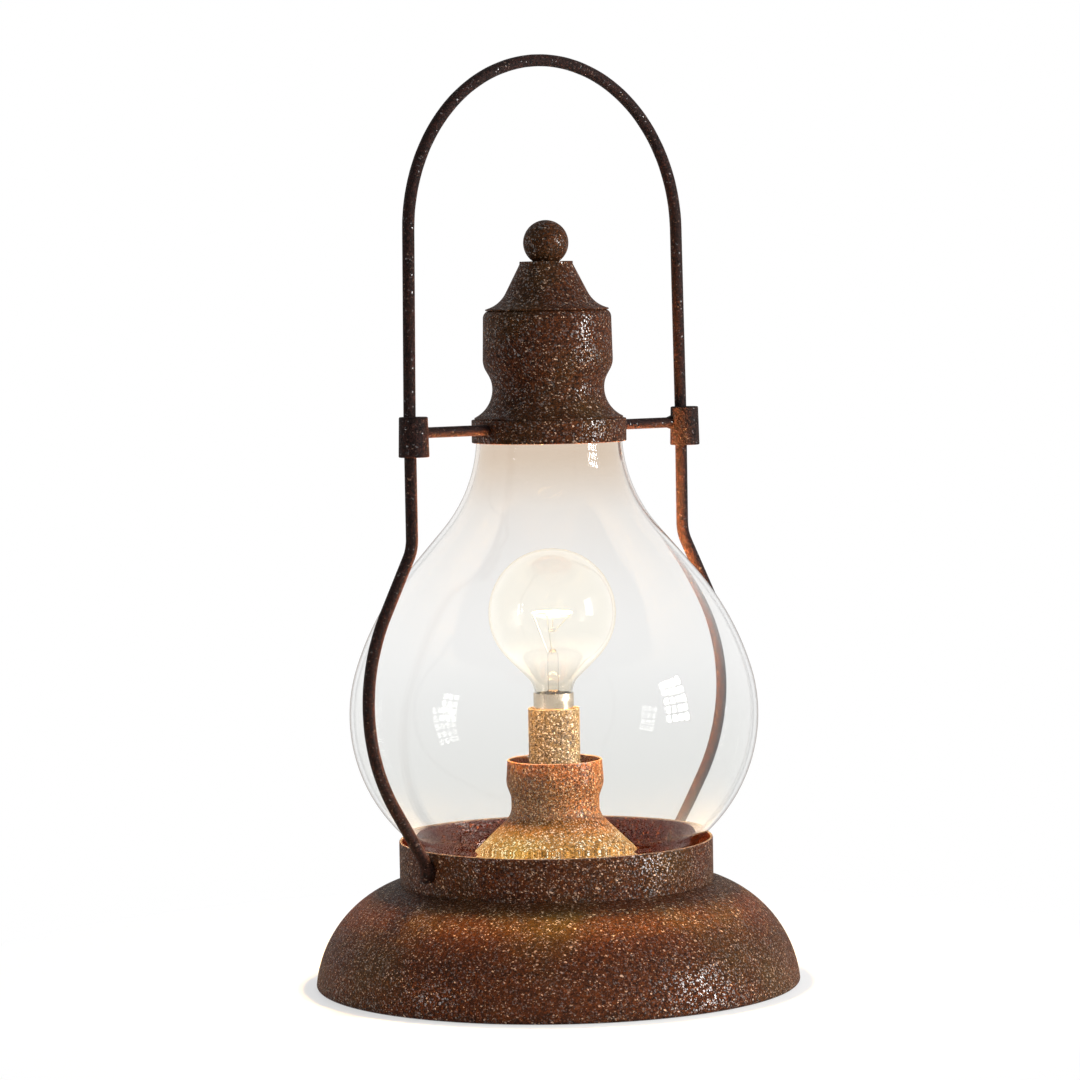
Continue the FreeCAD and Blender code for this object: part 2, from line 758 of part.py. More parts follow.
def cap_body_walk():
    """From the foot's edge, up the flare and the waist, round the drum to its shoulder."""
    waist_r = CAP_FOOT_R - CAP_FLARE_R * (1 - cos(CAP_FLARE_TURN))
    lean = CAP_WAIST_TURN
    drum_run = (CAP_DRUM_R - waist_r - (CAP_WAIST_BEND_R + CAP_DRUM_BEND_R) * (1 - cos(lean))) / sin(lean)
    return [(CAP_FLARE_R, -CAP_FLARE_TURN),
            (CAP_WAIST_BEND_R, -lean),
            (drum_run,),
            (CAP_DRUM_BEND_R, lean + CAP_DRUM_SLOPE),
            (CAP_DRUM_H,),
            (CAP_SHOULDER_R, CAP_SHOULDER_TURN),
            (CAP_SHOULDER_W,)]


def cap_foot_top():
    return ring_top() + CAP_BODY_WALL


def cap_body():
    start = (CAP_FOOT_R, cap_foot_top())
    wall = spun_shell(start, 90.0 + CAP_FLARE_TURN, cap_body_walk(), CAP_BODY_WALL)
    foot = ring(CAP_FOOT_LIP_R, CAP_FOOT_R, ring_top(), cap_foot_top())
    below = rod(CAP_FOOT_R + CUT_OVER, ring_top() - 2 * CAP_BODY_WALL, ring_top())
    return wall.cut(below).fuse(foot).removeSplitter()


def shoulder_top():
    _, end, _ = track((CAP_FOOT_R, cap_foot_top()), 90.0 + CAP_FLARE_TURN, cap_body_walk())
    return end


def shoulder_slope():
    return 90.0 + CAP_DRUM_SLOPE + CAP_SHOULDER_TURN


def crown_foot():
    """Height of the crown's outer edge when its inner face lies on the body's shoulder."""
    end = shoulder_top()
    upward = left_of(shoulder_slope()) * -1
    return end.z + (CAP_BODY_WALL + JOIN_GAP - (CROWN_R - end.x) * upward.x) / upward.z


def crown_walk():
    turn = shoulder_slope() - CROWN_SLOPE
    edge_run = CROWN_BEND_R * (sin(CROWN_SLOPE) - sin(shoulder_slope()))
    rim_run = CROWN_RIM_BEND_R * (1 - sin(CROWN_SLOPE))
    cone_run = (CROWN_R - edge_run - rim_run - CROWN_TOP_R) / -cos(CROWN_SLOPE)
    return [(CROWN_BEND_R, -turn),
            (cone_run,),
            (CROWN_RIM_BEND_R, 90.0 - CROWN_SLOPE),
            (CROWN_RIM_H,)]


def crown_top():
    _, end, _ = track((CROWN_R, crown_foot()), shoulder_slope(), crown_walk())
    return end.z


def cap_crown():
    wall = spun_shell((CROWN_R, crown_foot()), shoulder_slope(), crown_walk(), CAP_BODY_WALL,
                      round_start=True)
    plate = ring(STUD_R + STUD_HOLE_GAP, CROWN_TOP_R - CAP_BODY_WALL / 2,
                 crown_top() - CROWN_RIM_H, crown_top())
    return wall.fuse(plate).removeSplitter()


def ball_finial():
    centre = crown_top() + BALL_FLAT_DROP
    ball = Part.makeSphere(BALL_R, FreeCAD.Vector(0, 0, centre))
    ball = ball.cut(rod(BALL_R, centre - 2 * BALL_R, crown_top()))
    return ball.cut(rod(STUD_R + JOIN_GAP, crown_top() - CUT_OVER, crown_top() + STUD_DEPTH))


def finial_stud():
    low = crown_top() - CROWN_RIM_H - STUD_TAIL
    return rod(STUD_R, low, crown_top() + STUD_DEPTH - STUD_END_GAP)


def finial_nut():
    under = crown_top() - CROWN_RIM_H
    return hex_nut(FINIAL_NUT_R, STUD_R + JOIN_GAP, under - FINIAL_NUT_H, under)


# ---- Wire frame, right side; the left side mirrors it -----------------------------------------

def arm_level():
    return ring_top() - ARM_DROP


def ferrule_solid():
    top = arm_level() + FERRULE_RISE
    low = top - FERRULE_H
    cone = Part.makeCone(FERRULE_FOOT_R, FERRULE_TOP_R, FERRULE_H,
                         FreeCAD.Vector(POST_R, -FERRULE_SHIFT, low), AXIS)
    rims = [edge for edge in cone.Edges if edge.BoundBox.ZLength < JOIN_GAP]
    return cone.makeFillet(FERRULE_EDGE, rims), low, top


def ferrule():
    body, low, top = ferrule_solid()
    return body.cut(rod(WIRE_R + JOIN_GAP, low - CUT_OVER, top + CUT_OVER, POST_R))


def arm():
    """A short rod from the ring to the ferrule, with a weld fillet at the ferrule."""
    start = FreeCAD.Vector(RING_R - RING_WALL, 0, arm_level())
    sideways = FreeCAD.Vector(1, 0, 0)
    body, _, _ = ferrule_solid()
    surface = POST_R - math.sqrt(FERRULE_FOOT_R ** 2 - FERRULE_SHIFT ** 2)
    shaft = Part.makeCylinder(ARM_R, POST_R - start.x, start, sideways)
    weld_start = FreeCAD.Vector(surface - ARM_WELD_LEN, 0, arm_level())
    weld = Part.makeCone(ARM_R, ARM_WELD_R, ARM_WELD_LEN, weld_start, sideways)
    tail = Part.makeCylinder(ARM_WELD_R, FERRULE_SHIFT, weld_start + sideways * ARM_WELD_LEN, sideways)
    shaft = shaft.fuse([weld, tail]).removeSplitter()
    shaft = shaft.cut(body).cut(rod(RING_R, arm_level() - RING_H, arm_level() + RING_H))
    pieces = sorted(shaft.Solids, key=lambda piece: piece.Volume)
    return pieces[-1]


def ferrule_middle():
    _, low, top = ferrule_solid()
    return (low + top) / 2


def bail_handle():
    """Legs rise square from the ferrules, lean in slightly and meet the arch."""
    _, _, corner_z = ferrule_solid()
    start_z = ferrule_middle() + WIRE_END_GAP / 2
    rise = arm_level() + BAIL_RISE - corner_z
    reach = math.hypot(POST_R, rise)
    lean = math.degrees(math.acos(BAIL_R / reach) - math.atan2(rise, POST_R))
    bend_run = BAIL_FOOT_BEND_R * math.tan(math.radians(lean / 2))
    leg = math.sqrt(reach ** 2 - BAIL_R ** 2) - bend_run
    foot = corner_z - start_z - bend_run
    moves = [(foot,), (BAIL_FOOT_BEND_R, lean), (leg,),
             (BAIL_R, 90.0 - lean), (BAIL_R, 90.0 - lean),
             (leg,), (BAIL_FOOT_BEND_R, lean), (foot,)]
    edges, _, _ = track((POST_R, start_z), 90.0, moves)
    return tube_along(edges, WIRE_R)


def guard_half(post_r, level, bend_r, run):
    """Slope off the vertical, and radius, of the bow from its widest place to an upright stretch.

    The upright stretch lies at post_r and ends at the level, where a bend of bend_r begins.
    """
    aside = GUARD_WIDEST_R - post_r
    along = abs(level - GUARD_WIDEST_Z)
    radii = (aside ** 2 + along ** 2 - run ** 2) / (2 * aside)
    slope = math.degrees(math.atan2(along, radii - aside) - math.atan2(run, radii))
    return slope, radii - bend_r


def guard_walk():
    """Down from the ferrule, out over the globe's widest part and in again to the collar."""
    _, ferrule_foot, _ = ferrule_solid()
    top_level = ferrule_foot - GUARD_LEG
    foot_level = BASE_H + GUARD_FOOT_RISE
    top, top_bow = guard_half(POST_R, top_level, GUARD_TOP_BEND_R, GUARD_TOP_RUN)
    foot, foot_bow = guard_half(COLLAR_R + WIRE_R, foot_level, GUARD_FOOT_BEND_R, GUARD_FOOT_RUN)
    start_z = ferrule_middle() - WIRE_END_GAP / 2
    moves = [(start_z - top_level,),
             (GUARD_TOP_BEND_R, top),
             (GUARD_TOP_RUN,),
             (top_bow, -top),
             (foot_bow, -foot),
             (GUARD_FOOT_RUN,),
             (GUARD_FOOT_BEND_R, foot),
             (GUARD_FOOT_RISE - GUARD_END_H,)]
    return start_z, moves


def guard_wire():
    """The wire with the weld that joins its foot to the collar."""
    start_z, moves = guard_walk()
    edges, end, _ = track((POST_R, start_z), -90.0, moves)
    wire = tube_along(edges, WIRE_R)
    depth = WIRE_R + CUT_OVER
    weld = Part.makeBox(depth, WELD_W, WELD_H, FreeCAD.Vector(end.x - depth, -WELD_W / 2, end.z))
    joined = wire.fuse(weld).removeSplitter()
    return joined.cut(rod(COLLAR_R, BASE_H, COLLAR_TOP))


# ---- Assembly -----------------------------------------------------------------------------

NODES = {
    "base_dome": base_dome,
    "base_collar": base_collar,
    "bottom_cover": bottom_cover,
    "cover_screws": cover_screws,
    "felt_feet": felt_feet,
    "cord_gland": cord_gland,
    "glass_gasket": glass_gasket,
    "globe_bowl": globe_bowl,
    "globe_shoulder": globe_shoulder,
    "pedestal_cup": pedestal_cup,
    "nipple_tube": nipple_tube,
    "nipple_nuts": nipple_nuts,
    "nipple_washer": nipple_washer,
    "socket_sleeve": socket_sleeve,
    "holder_body": holder_body,
    "holder_screw_shell": holder_screw_shell,
    "holder_contact": holder_contact,
    "bulb_cap": bulb_cap,
    "bulb_insulator": bulb_insulator,
    "bulb_tip": bulb_tip,
    "bulb_glass": bulb_glass,
    "bulb_stem": bulb_stem,
    "bulb_leads": bulb_leads,
    "bulb_filament": bulb_filament,
    "cap_ring": cap_ring,
    "cap_body": cap_body,
    "cap_spigot": cap_spigot,
    "cap_crown": cap_crown,
    "ball_finial": ball_finial,
    "finial_stud": finial_stud,
    "finial_nut": finial_nut,
    "bail_handle": bail_handle,
    "ferrule_right": ferrule,
    "ferrule_left": lambda: mirrored(ferrule()),
    "arm_right": arm,
    "arm_left": lambda: mirrored(arm()),
    "guard_wire_right": guard_wire,
    "guard_wire_left": lambda: mirrored(guard_wire()),
}

os.makedirs("parts", exist_ok=True)
for name, make in NODES.items():
    shape = make()
    print(f"{name:20s} {len(shape.Solids)} solid(s) {shape.Volume:12.1f} mm3")
    shape.exportStep(os.path.join("parts", name + ".step"))
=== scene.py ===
"""Looks of the lantern table lamp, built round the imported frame.

Lengths are in millimetres until a mesh is made.
"""
import json
import math

import bmesh
import bpy
from mathutils import Matrix, Vector

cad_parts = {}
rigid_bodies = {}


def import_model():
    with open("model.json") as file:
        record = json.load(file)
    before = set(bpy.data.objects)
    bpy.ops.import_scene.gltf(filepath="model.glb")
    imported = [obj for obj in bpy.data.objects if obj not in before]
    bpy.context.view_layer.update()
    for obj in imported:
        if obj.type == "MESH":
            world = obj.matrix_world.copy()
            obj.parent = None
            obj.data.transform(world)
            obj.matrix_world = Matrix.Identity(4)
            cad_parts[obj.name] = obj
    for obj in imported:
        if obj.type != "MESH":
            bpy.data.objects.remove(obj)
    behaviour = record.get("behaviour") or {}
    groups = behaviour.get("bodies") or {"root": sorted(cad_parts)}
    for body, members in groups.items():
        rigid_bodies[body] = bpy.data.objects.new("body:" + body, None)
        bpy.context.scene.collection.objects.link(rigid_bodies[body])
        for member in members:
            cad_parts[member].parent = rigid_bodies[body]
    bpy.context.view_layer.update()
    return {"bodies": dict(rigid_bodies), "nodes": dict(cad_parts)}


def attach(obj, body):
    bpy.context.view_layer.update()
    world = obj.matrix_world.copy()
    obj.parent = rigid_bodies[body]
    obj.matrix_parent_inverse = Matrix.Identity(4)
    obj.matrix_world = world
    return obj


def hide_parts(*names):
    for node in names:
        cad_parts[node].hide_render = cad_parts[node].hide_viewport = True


MM = 0.001

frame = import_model()

FRAME_BODY, CAP_BODY, BULB_BODY = "lamp_frame", "chimney_cap", "bulb"

# ---- Sizes, as in the part ----

BASE_R, BASE_H, BASE_WALL = 151.5, 64.9, 1.5
BASE_EDGE_R, BASE_SLOPE, CREASE_R = 2.0, 16.0, 2.5
DOME_FOOT = 0.5
LEDGE_W = 14.0                          # inside the dome's foot
DOME_HOLE_R, FOOT_BEND_R, LEDGE_BEND_R = 6.0, 2.0, 0.5
COLLAR_R, COLLAR_H, COLLAR_WALL = 98.2, 26.7, 1.6

GLASS_R, GLASS_WALL = 127.6, 2.5
GLASS_FOOT = BASE_H + 1.5               # on its gasket
GLASS_FOOT_R, GLASS_FOOT_LEN, GLASS_FOOT_BEND_R = 81.5, 1.2, 31.7
GLASS_BELLY_R, GLASS_SIDE_R, GLASS_SIDE_TURN = 101.3, 98.2, 17.2
GLASS_SHOULDER_R, GLASS_SHOULDER_TURN, GLASS_THROAT_R = 175.3, 23.4, 91.0
GLASS_NECK_R, GLASS_NECK_LEN = 45.3, 5.5

PED_WALL, PED_WAIST_R, PED_SKIRT_H, PED_SKIRT_SLOPE = 1.2, 27.6, 46.3, 45.0
PED_SKIRT_BEND_R, PED_WAIST_H, PED_LIP_TURN, PED_LIP_BEND_R = 12.0, 5.0, 20.0, 8.0
PED_LIP_RUN, PED_BULGE_R, PED_RIM_TURN, PED_RIM_H = 4.5, 14.0, 4.0, 11.5
PEDESTAL_TOP = BASE_H + 76.1
SLEEVE_R, SLEEVE_WALL, SLEEVE_LOW, SLEEVE_TOP = 16.1, 1.0, BASE_H + 53.5, BASE_H + 108.3

CAP_TOP = SLEEVE_TOP + 9.4              # of the bulb's metal cap
BULB_R, BULB_WALL, BULB_NECK_R, BULB_NECK_LEN = 39.7, 0.8, 11.9, 6.0
BULB_NECK_BEND_R, BULB_FLANK = 14.0, 45.0
FILAMENT_Z = BASE_H + 167.7

RING_TOP = BASE_H + 288.94
RING_R, RING_WALL, RING_H, RING_LIP_T, RING_MOUTH_R = 48.2, 2.2, 14.3, 1.5, 41.2
SHELL_WALL = 1.2                        # chimney cap's sheet metal
CAP_FOOT_R, CAP_FOOT_LIP_R, CAP_FLARE_R, CAP_FLARE_TURN = 46.3, 39.7, 19.8, 65.0
CAP_WAIST_TURN, CAP_WAIST_BEND_R, CAP_DRUM_BEND_R = 30.0, 17.0, 14.0
CAP_DRUM_R, CAP_DRUM_LEAN, CAP_DRUM_H = 40.5, 1.3, 25.5
CAP_SHOULDER_R, CAP_SHOULDER_TURN, CAP_SHOULDER_W = 5.0, 75.0, 4.0
SPIGOT_R, SPIGOT_WALL, SPIGOT_LEN = 40.9, 0.9, 9.0
CROWN_R, CROWN_SLOPE, CROWN_BEND_R, CROWN_TOP_R = 38.0, 117.0, 19.0, 16.6
CROWN_TOP, CROWN_RIM_H, CROWN_RIM_BEND_R, CROWN_SEAM = BASE_H + 386.68, 1.6, 0.5, 0.05
PLATE_LAP = 0.5                         # of the crown's top plate inside the cone
BALL_R, BALL_DROP = 14.1, 11.5

WIRE_R, ARM_R, ARM_Z = 3.75, 3.3, RING_TOP - 5.5
ARM_LEN, ARM_FLARE_R, ARM_FLARE_START, ARM_FLARE_END = 56, 5.2, 48, 54
POST_R = GLASS_R - 19.9                 # the uprights
FERRULE_TOP_R, FERRULE_FOOT_R, FERRULE_SHIFT = 8.8, 9.4, 3.75
FERRULE_LOW, FERRULE_TOP = ARM_Z - 14.5, ARM_Z + 10.0
BAIL_R, BAIL_RISE, BAIL_FOOT_BEND_R = POST_R - 1.7, 121.4, 60.0
WIRE_END_GAP = 1.0
GUARD_WIDEST_R, GUARD_WIDEST_Z = GLASS_R + 11.2 + WIRE_R, BASE_H + 118.38
GUARD_TOP_Z, GUARD_TOP_BEND_R, GUARD_TOP_RUN = FERRULE_LOW - 49.7, 25.0, 37.7
GUARD_FOOT_Z, GUARD_FOOT_BEND_R, GUARD_FOOT_RUN = BASE_H + 14.3, 20.0, 35.7
GUARD_END_Z = BASE_H + 8.5
WELD_OUT, WELD_R, WELD_H = 2.2, 5.0, 7.0

# ---- How fine the meshes are ----

ARC_STEP = 4.0             # degrees between points on a bend
ARC_CHORD = 1.6            # and no further apart than this
SOFT_EDGE = 0.35           # rounding of sheet-metal edges
RING_EDGE, FERRULE_EDGE, ARM_EDGE = 0.7, 0.9, 1.5
SPIN_STEPS, WIDE_STEPS, BALL_STEPS, SLEEVE_STEPS = 180, 240, 120, 96
FERRULE_STEPS, ARM_STEPS, WELD_STEPS = 64, 36, 32
BALL_ARC_STEPS = 48
WIRE_SIDES = 28
WIRE_UNEVENNESS, WANDER_SCALE = 0.25, 90.0
SHARP_ANGLE = math.radians(38)
SHORTEST = 1e-6            # anything shorter counts as nothing
MERGE_DISTANCE = 2e-6      # metres


def sin(degrees):
    return math.sin(math.radians(degrees))


def cos(degrees):
    return math.cos(math.radians(degrees))


# ---- Lines drawn like a walk ----

def ahead(angle):
    return Vector((cos(angle), sin(angle)))


def left_of(angle):
    return Vector((-sin(angle), cos(angle)))


def walk(start, angle, moves, inset=0.0):
    """Points along a walk in a flat plane: (length,) runs straight, (radius, turn) bends, + to the left.

    An inset gives the parallel line that far to the left. Returns the points and the last direction.
    """
    place = Vector(start) + left_of(angle) * inset
    points = [place]
    for move in moves:
        if len(move) == 1:
            place = place + ahead(angle) * move[0]
            points.append(place)
            continue
        radius, turn = move
        side = math.copysign(1, turn)
        bend = radius - side * inset
        centre = place + left_of(angle) * (side * bend)
        steps = max(2, math.ceil(abs(turn) / ARC_STEP),
                    math.ceil(abs(math.radians(turn)) * bend / ARC_CHORD))
        points += [centre - left_of(angle + turn * k / steps) * (side * bend) for k in range(1, steps + 1)]
        angle += turn
        place = points[-1]
    return points, angle


def rounded_end(first, last, outward, steps=6):
    """Points of a half circle from one side of a wall to the other."""
    middle, across = (first + last) / 2, (first - last) / 2
    reach = outward * across.length
    return [middle + across * cos(180 * k / steps) + reach * sin(180 * k / steps) for k in range(1, steps)]


def wall_outline(start, angle, moves, wall, round_start=False, round_end=False):
    """The closed outline of a thin wall that follows a walk."""
    outer, last_angle = walk(start, angle, moves)
    inner, _ = walk(start, angle, moves, wall)
    end = rounded_end(outer[-1], inner[-1], ahead(last_angle)) if round_end else []
    begin = rounded_end(inner[0], outer[0], ahead(angle) * -1) if round_start else []
    return outer + end + inner[::-1] + begin


def soften(corners, radius=SOFT_EDGE, steps=4, least_turn=25.0):
    """Rounds the sharp corners of a closed outline, but not those on the axis."""
    places = [Vector(c) for c in corners]
    soft = []
    for before, here, after in zip(places[-1:] + places, places, places[1:] + places[:1]):
        back, forth = before - here, after - here
        turn = 180 - math.degrees(back.angle(forth)) if min(back.length, forth.length) > SHORTEST else 0
        if turn < least_turn or here.x < SHORTEST:
            soft.append(here)
            continue
        cut = min(radius * math.tan(math.radians(turn / 2)), 0.45 * back.length, 0.45 * forth.length)
        first, last = here + back.normalized() * cut, here + forth.normalized() * cut
        for k in range(steps + 1):
            t = k / steps
            soft.append(first * (1 - t) ** 2 + here * (2 * t * (1 - t)) + last * t ** 2)
    return soft


# ---- Node trees ----

def add(tree, kind, inputs=None, **settings):
    """A node with its settings and its inputs, which are values or other nodes' sockets."""
    made = tree.nodes.new(kind)
    for key, value in settings.items():
        setattr(made, key, value)
    for key, value in (inputs or {}).items():
        if isinstance(value, bpy.types.NodeSocket):
            tree.links.new(value, made.inputs[key])
        else:
            made.inputs[key].default_value = value
    return made


def calc(tree, operation, *values, clamp=False):
    math_node = add(tree, "ShaderNodeMath", dict(enumerate(values)), operation=operation, use_clamp=clamp)
    return math_node.outputs[0]


def vector(tree, operation, *values):
    """The result of vector maths; where it scales, the second value is the factor."""
    inputs = {0: values[0], "Scale": values[1]} if operation == "SCALE" else dict(enumerate(values))
    made = add(tree, "ShaderNodeVectorMath", inputs, operation=operation)
    return made.outputs["Value" if operation in ("DOT_PRODUCT", "LENGTH") else "Vector"]


def remap(tree, value, given=(0.0, 1.0), wanted=(0.0, 1.0), kind="LINEAR"):
    """The value, held within the given range and carried over to the wanted one."""
    inputs = {"Value": value, "From Min": given[0], "From Max": given[1], "To Min": wanted[0],
              "To Max": wanted[1]}
    return add(tree, "ShaderNodeMapRange", inputs, interpolation_type=kind).outputs[0]


def blend(tree, share, first, second):
    inputs = {"Factor": share, "A": first, "B": second}
    return add(tree, "ShaderNodeMix", inputs, data_type="RGBA").outputs["Result"]


def noise(tree, place, scale, detail=2.0, **more):
    inputs = {"Vector": place, "Scale": scale, "Detail": detail, **more}
    return add(tree, "ShaderNodeTexNoise", inputs).outputs[0]


def new_tree(name, kind, inputs, outputs):
    """A node group with its sockets: (name, socket kind, default value) each."""
    tree = bpy.data.node_groups.new(name, kind)
    for in_out, sockets in (("INPUT", inputs), ("OUTPUT", outputs)):
        for label, socket_kind, default in sockets:
            socket = tree.interface.new_socket(label, in_out=in_out, socket_type=socket_kind)
            if default is not None:
                socket.default_value = default
    return tree, tree.nodes.new("NodeGroupInput").outputs, tree.nodes.new("NodeGroupOutput").inputs


# ---- Geometry: a spun outline and a wire along a path ----

def in_scene(name, data):
    """A new object in the scene."""
    holder = bpy.data.objects.new(name, data)
    bpy.context.scene.collection.objects.link(holder)
    return holder


def make_spin_tree():
    """Turns an outline in the XZ plane about the Z axis: each of its points becomes a ring."""
    tree, given, result = new_tree(
        "spin_outline", "GeometryNodeTree",
        [("Outline", "NodeSocketGeometry", None), ("Steps", "NodeSocketInt", SPIN_STEPS),
         ("Finish", "NodeSocketMaterial", None)],
        [("Shell", "NodeSocketGeometry", None)])
    size = add(tree, "GeometryNodeAttributeDomainSize", {0: given["Outline"]})
    count = size.outputs["Point Count"]
    columns = calc(tree, "ADD", given["Steps"], 1.0)
    grid = add(tree, "GeometryNodeMeshGrid",
               {"Size X": 1.0, "Size Y": 1.0, "Vertices X": columns, "Vertices Y": count})
    index = add(tree, "GeometryNodeInputIndex").outputs[0]
    column = calc(tree, "FLOOR", calc(tree, "DIVIDE", calc(tree, "ADD", index, 0.5), count))
    row = calc(tree, "SUBTRACT", index, calc(tree, "MULTIPLY", column, count))
    place = add(tree, "GeometryNodeInputPosition").outputs[0]
    sample = add(tree, "GeometryNodeSampleIndex", data_type="FLOAT_VECTOR", domain="POINT")
    tree.links.new(given["Outline"], sample.inputs["Geometry"])
    tree.links.new(place, sample.inputs["Value"])
    tree.links.new(row, sample.inputs["Index"])
    angle = calc(tree, "MULTIPLY", calc(tree, "DIVIDE", column, given["Steps"]), 2 * math.pi)
    turned = add(tree, "ShaderNodeVectorRotate", {"Vector": sample.outputs["Value"], "Angle": angle},
                 rotation_type="Z_AXIS")
    moved = add(tree, "GeometryNodeSetPosition",
                {"Geometry": grid.outputs["Mesh"], "Position": turned.outputs["Vector"]})
    merged = add(tree, "GeometryNodeMergeByDistance",
                 {"Geometry": moved.outputs[0], "Distance": MERGE_DISTANCE})
    finish_mesh(tree, merged.outputs[0], given["Finish"], result["Shell"])
    return tree


def make_wire_tree():
    """Gives a path a round section of a radius that wanders a little, as on hand-bent wire."""
    tree, given, result = new_tree(
        "wire_along_path", "GeometryNodeTree",
        [("Path", "NodeSocketGeometry", None), ("Radius", "NodeSocketFloat", WIRE_R * MM),
         ("Sides", "NodeSocketInt", WIRE_SIDES), ("Unevenness", "NodeSocketFloat", 0.0),
         ("Finish", "NodeSocketMaterial", None)],
        [("Wire", "NodeSocketGeometry", None)])
    curve = add(tree, "GeometryNodeMeshToCurve", {"Mesh": given["Path"]})
    section = add(tree, "GeometryNodeCurvePrimitiveCircle",
                  {"Resolution": given["Sides"], "Radius": given["Radius"]})
    tube = add(tree, "GeometryNodeCurveToMesh",
               {"Curve": curve.outputs[0], "Profile Curve": section.outputs[0], "Fill Caps": True})
    wander = add(tree, "ShaderNodeTexNoise", {"Scale": WANDER_SCALE, "Detail": 2.0}).outputs[0]
    normal = add(tree, "GeometryNodeInputNormal").outputs[0]
    depth = calc(tree, "MULTIPLY", calc(tree, "SUBTRACT", wander, 0.5), given["Unevenness"])
    moved = add(tree, "GeometryNodeSetPosition",
                {"Geometry": tube.outputs[0], "Offset": vector(tree, "SCALE", normal, depth)})
    finish_mesh(tree, moved.outputs[0], given["Finish"], result["Wire"])
    return tree


def finish_mesh(tree, mesh, finish, result):
    """The last nodes of a geometry tree: smooth shading, real geometry and its material."""
    smooth = add(tree, "GeometryNodeSetShadeSmooth", {"Geometry": mesh})
    real = add(tree, "GeometryNodeRealizeInstances", {"Geometry": smooth.outputs[0]})
    last = add(tree, "GeometryNodeSetMaterial", {"Geometry": real.outputs[0], "Material": finish})
    tree.links.new(last.outputs[0], result)


def grown(name, points, edges, tree, values):
    """A plain mesh object that a geometry tree grows from points; values are its named inputs."""
    seed = bpy.data.meshes.new(name + "_seed")
    seed.from_pydata(points, edges, [])
    holder = in_scene(name, seed)
    modifier = holder.modifiers.new(name, "NODES")
    modifier.node_group = tree
    for item in tree.interface.items_tree:
        if item.item_type == "SOCKET" and item.in_out == "INPUT" and item.name in values:
            modifier[item.identifier] = values[item.name]
    view = bpy.context.evaluated_depsgraph_get()
    mesh = bpy.data.meshes.new_from_object(holder.evaluated_get(view))
    holder.modifiers.clear()
    holder.data = mesh
    bpy.data.meshes.remove(seed)
    mesh.name = name
    return holder


def settle(piece, place=None):
    """Moves a mesh to its place, turns its faces outwards and keeps its edges crisp."""
    work = bmesh.new()
    work.from_mesh(piece.data)
    bmesh.ops.remove_doubles(work, verts=work.verts, dist=MERGE_DISTANCE)
    if place is not None:
        work.transform(place)
    bmesh.ops.recalc_face_normals(work, faces=work.faces)
    work.to_mesh(piece.data)
    work.free()
    piece.data.set_sharp_from_angle(angle=SHARP_ANGLE)
    return piece


def spun(name, outline, finish, steps=SPIN_STEPS, place=None):
    """A turned piece from its closed outline of (radius, height) points in millimetres."""
    points = [(p[0] * MM, 0.0, p[1] * MM) for p in list(outline) + [outline[0]]]
    return settle(grown(name, points, [], SPIN, {"Steps": steps, "Finish": finish}), place)


def wire(name, path, radius, finish, unevenness=0.0, sides=WIRE_SIDES):
    """A wire along (x, y, z) points in millimetres."""
    points = [tuple(c * MM for c in p) for p in path]
    edges = [(k, k + 1) for k in range(len(points) - 1)]
    values = {"Radius": radius * MM, "Sides": sides, "Unevenness": unevenness * MM, "Finish": finish}
    return settle(grown(name, points, edges, WIRE, values))


def dress(piece, body, slot, *nodes):
    """Puts a finished piece on its body in place of its CAD nodes."""
    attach(piece, body)
    if nodes:
        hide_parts(*nodes)
    return piece


# ---- Materials ----

# Scales are in cells or waves per metre, and pairs are the two ends of a range.
TONE_SCALE, CLOUD_SCALE, GRAIN_SCALE, FINE_SCALE, PATCH_SCALE = 520.0, 18.0, 1500.0, 2400.0, 350.0
BEND_SCALE, BEND_REACH = 700.0, 0.0016
HALF = (0.5, 0.5, 0.5)     # a noise's middle colour
RUST_FROM, OLIVE_FROM, OLIVE_SHARES = (0.38, 0.64), (0.48, 0.72), (0.0, 0.6)
GRAIN_SHADES, GRAIN_ROUGHNESS = (0.2, 1.9), (0.42, 0.8)
CROWDING_FROM, CROWDING = (0.35, 0.65), (0.6, 1.4)
LARGE_CHIPS, SMALL_CHIPS, GLINTS = (470.0, 0.2), (880.0, 0.27), (760.0, 0.32)   # scale, radius in cells
LARGE_SHARE = 0.3          # of the small chips' share
FLECK_STRETCH = 0.8        # of the flecks' length: 0 leaves them round
FLECK_EDGE, FLECK_LEAST_SIZE, FLECK_LEAST_STRENGTH = (-0.02, 0.03), 0.4, 0.25
FINE_RELIEF, TONE_RELIEF, CHIP_RELIEF = 0.7, 1.2, 0.8
PAINT_GLOSS = 0.06         # of the paint between its glints
COAT_ROUGHNESS, COAT_IOR = 0.33, 1.75
GLINTS_FADE = (0.55, 0.9)  # towards the outline, as the facing rises
# A ragged pale line along a rim: a painted highlight of a lit rim edge.
RIM_HIGHLIGHT_COLOUR, RIM_HIGHLIGHT_FROM, RIM_HIGHLIGHT_SHARES = (0.09, 0.085, 0.085), (0.35, 0.6), (0.1, 0.7)
RIM_HIGHLIGHT_DEPTHS = (0.9, 0.2)   # below a rim
ZONE_WANDER = 6.0
# The side toward the camera, where the dome's painted glow of the bulb is strongest; it fades out towards
# the far side.
NEAR_SIDE, NEAR_FROM = (-0.508, -0.861, 0), (0.3, 0.98)

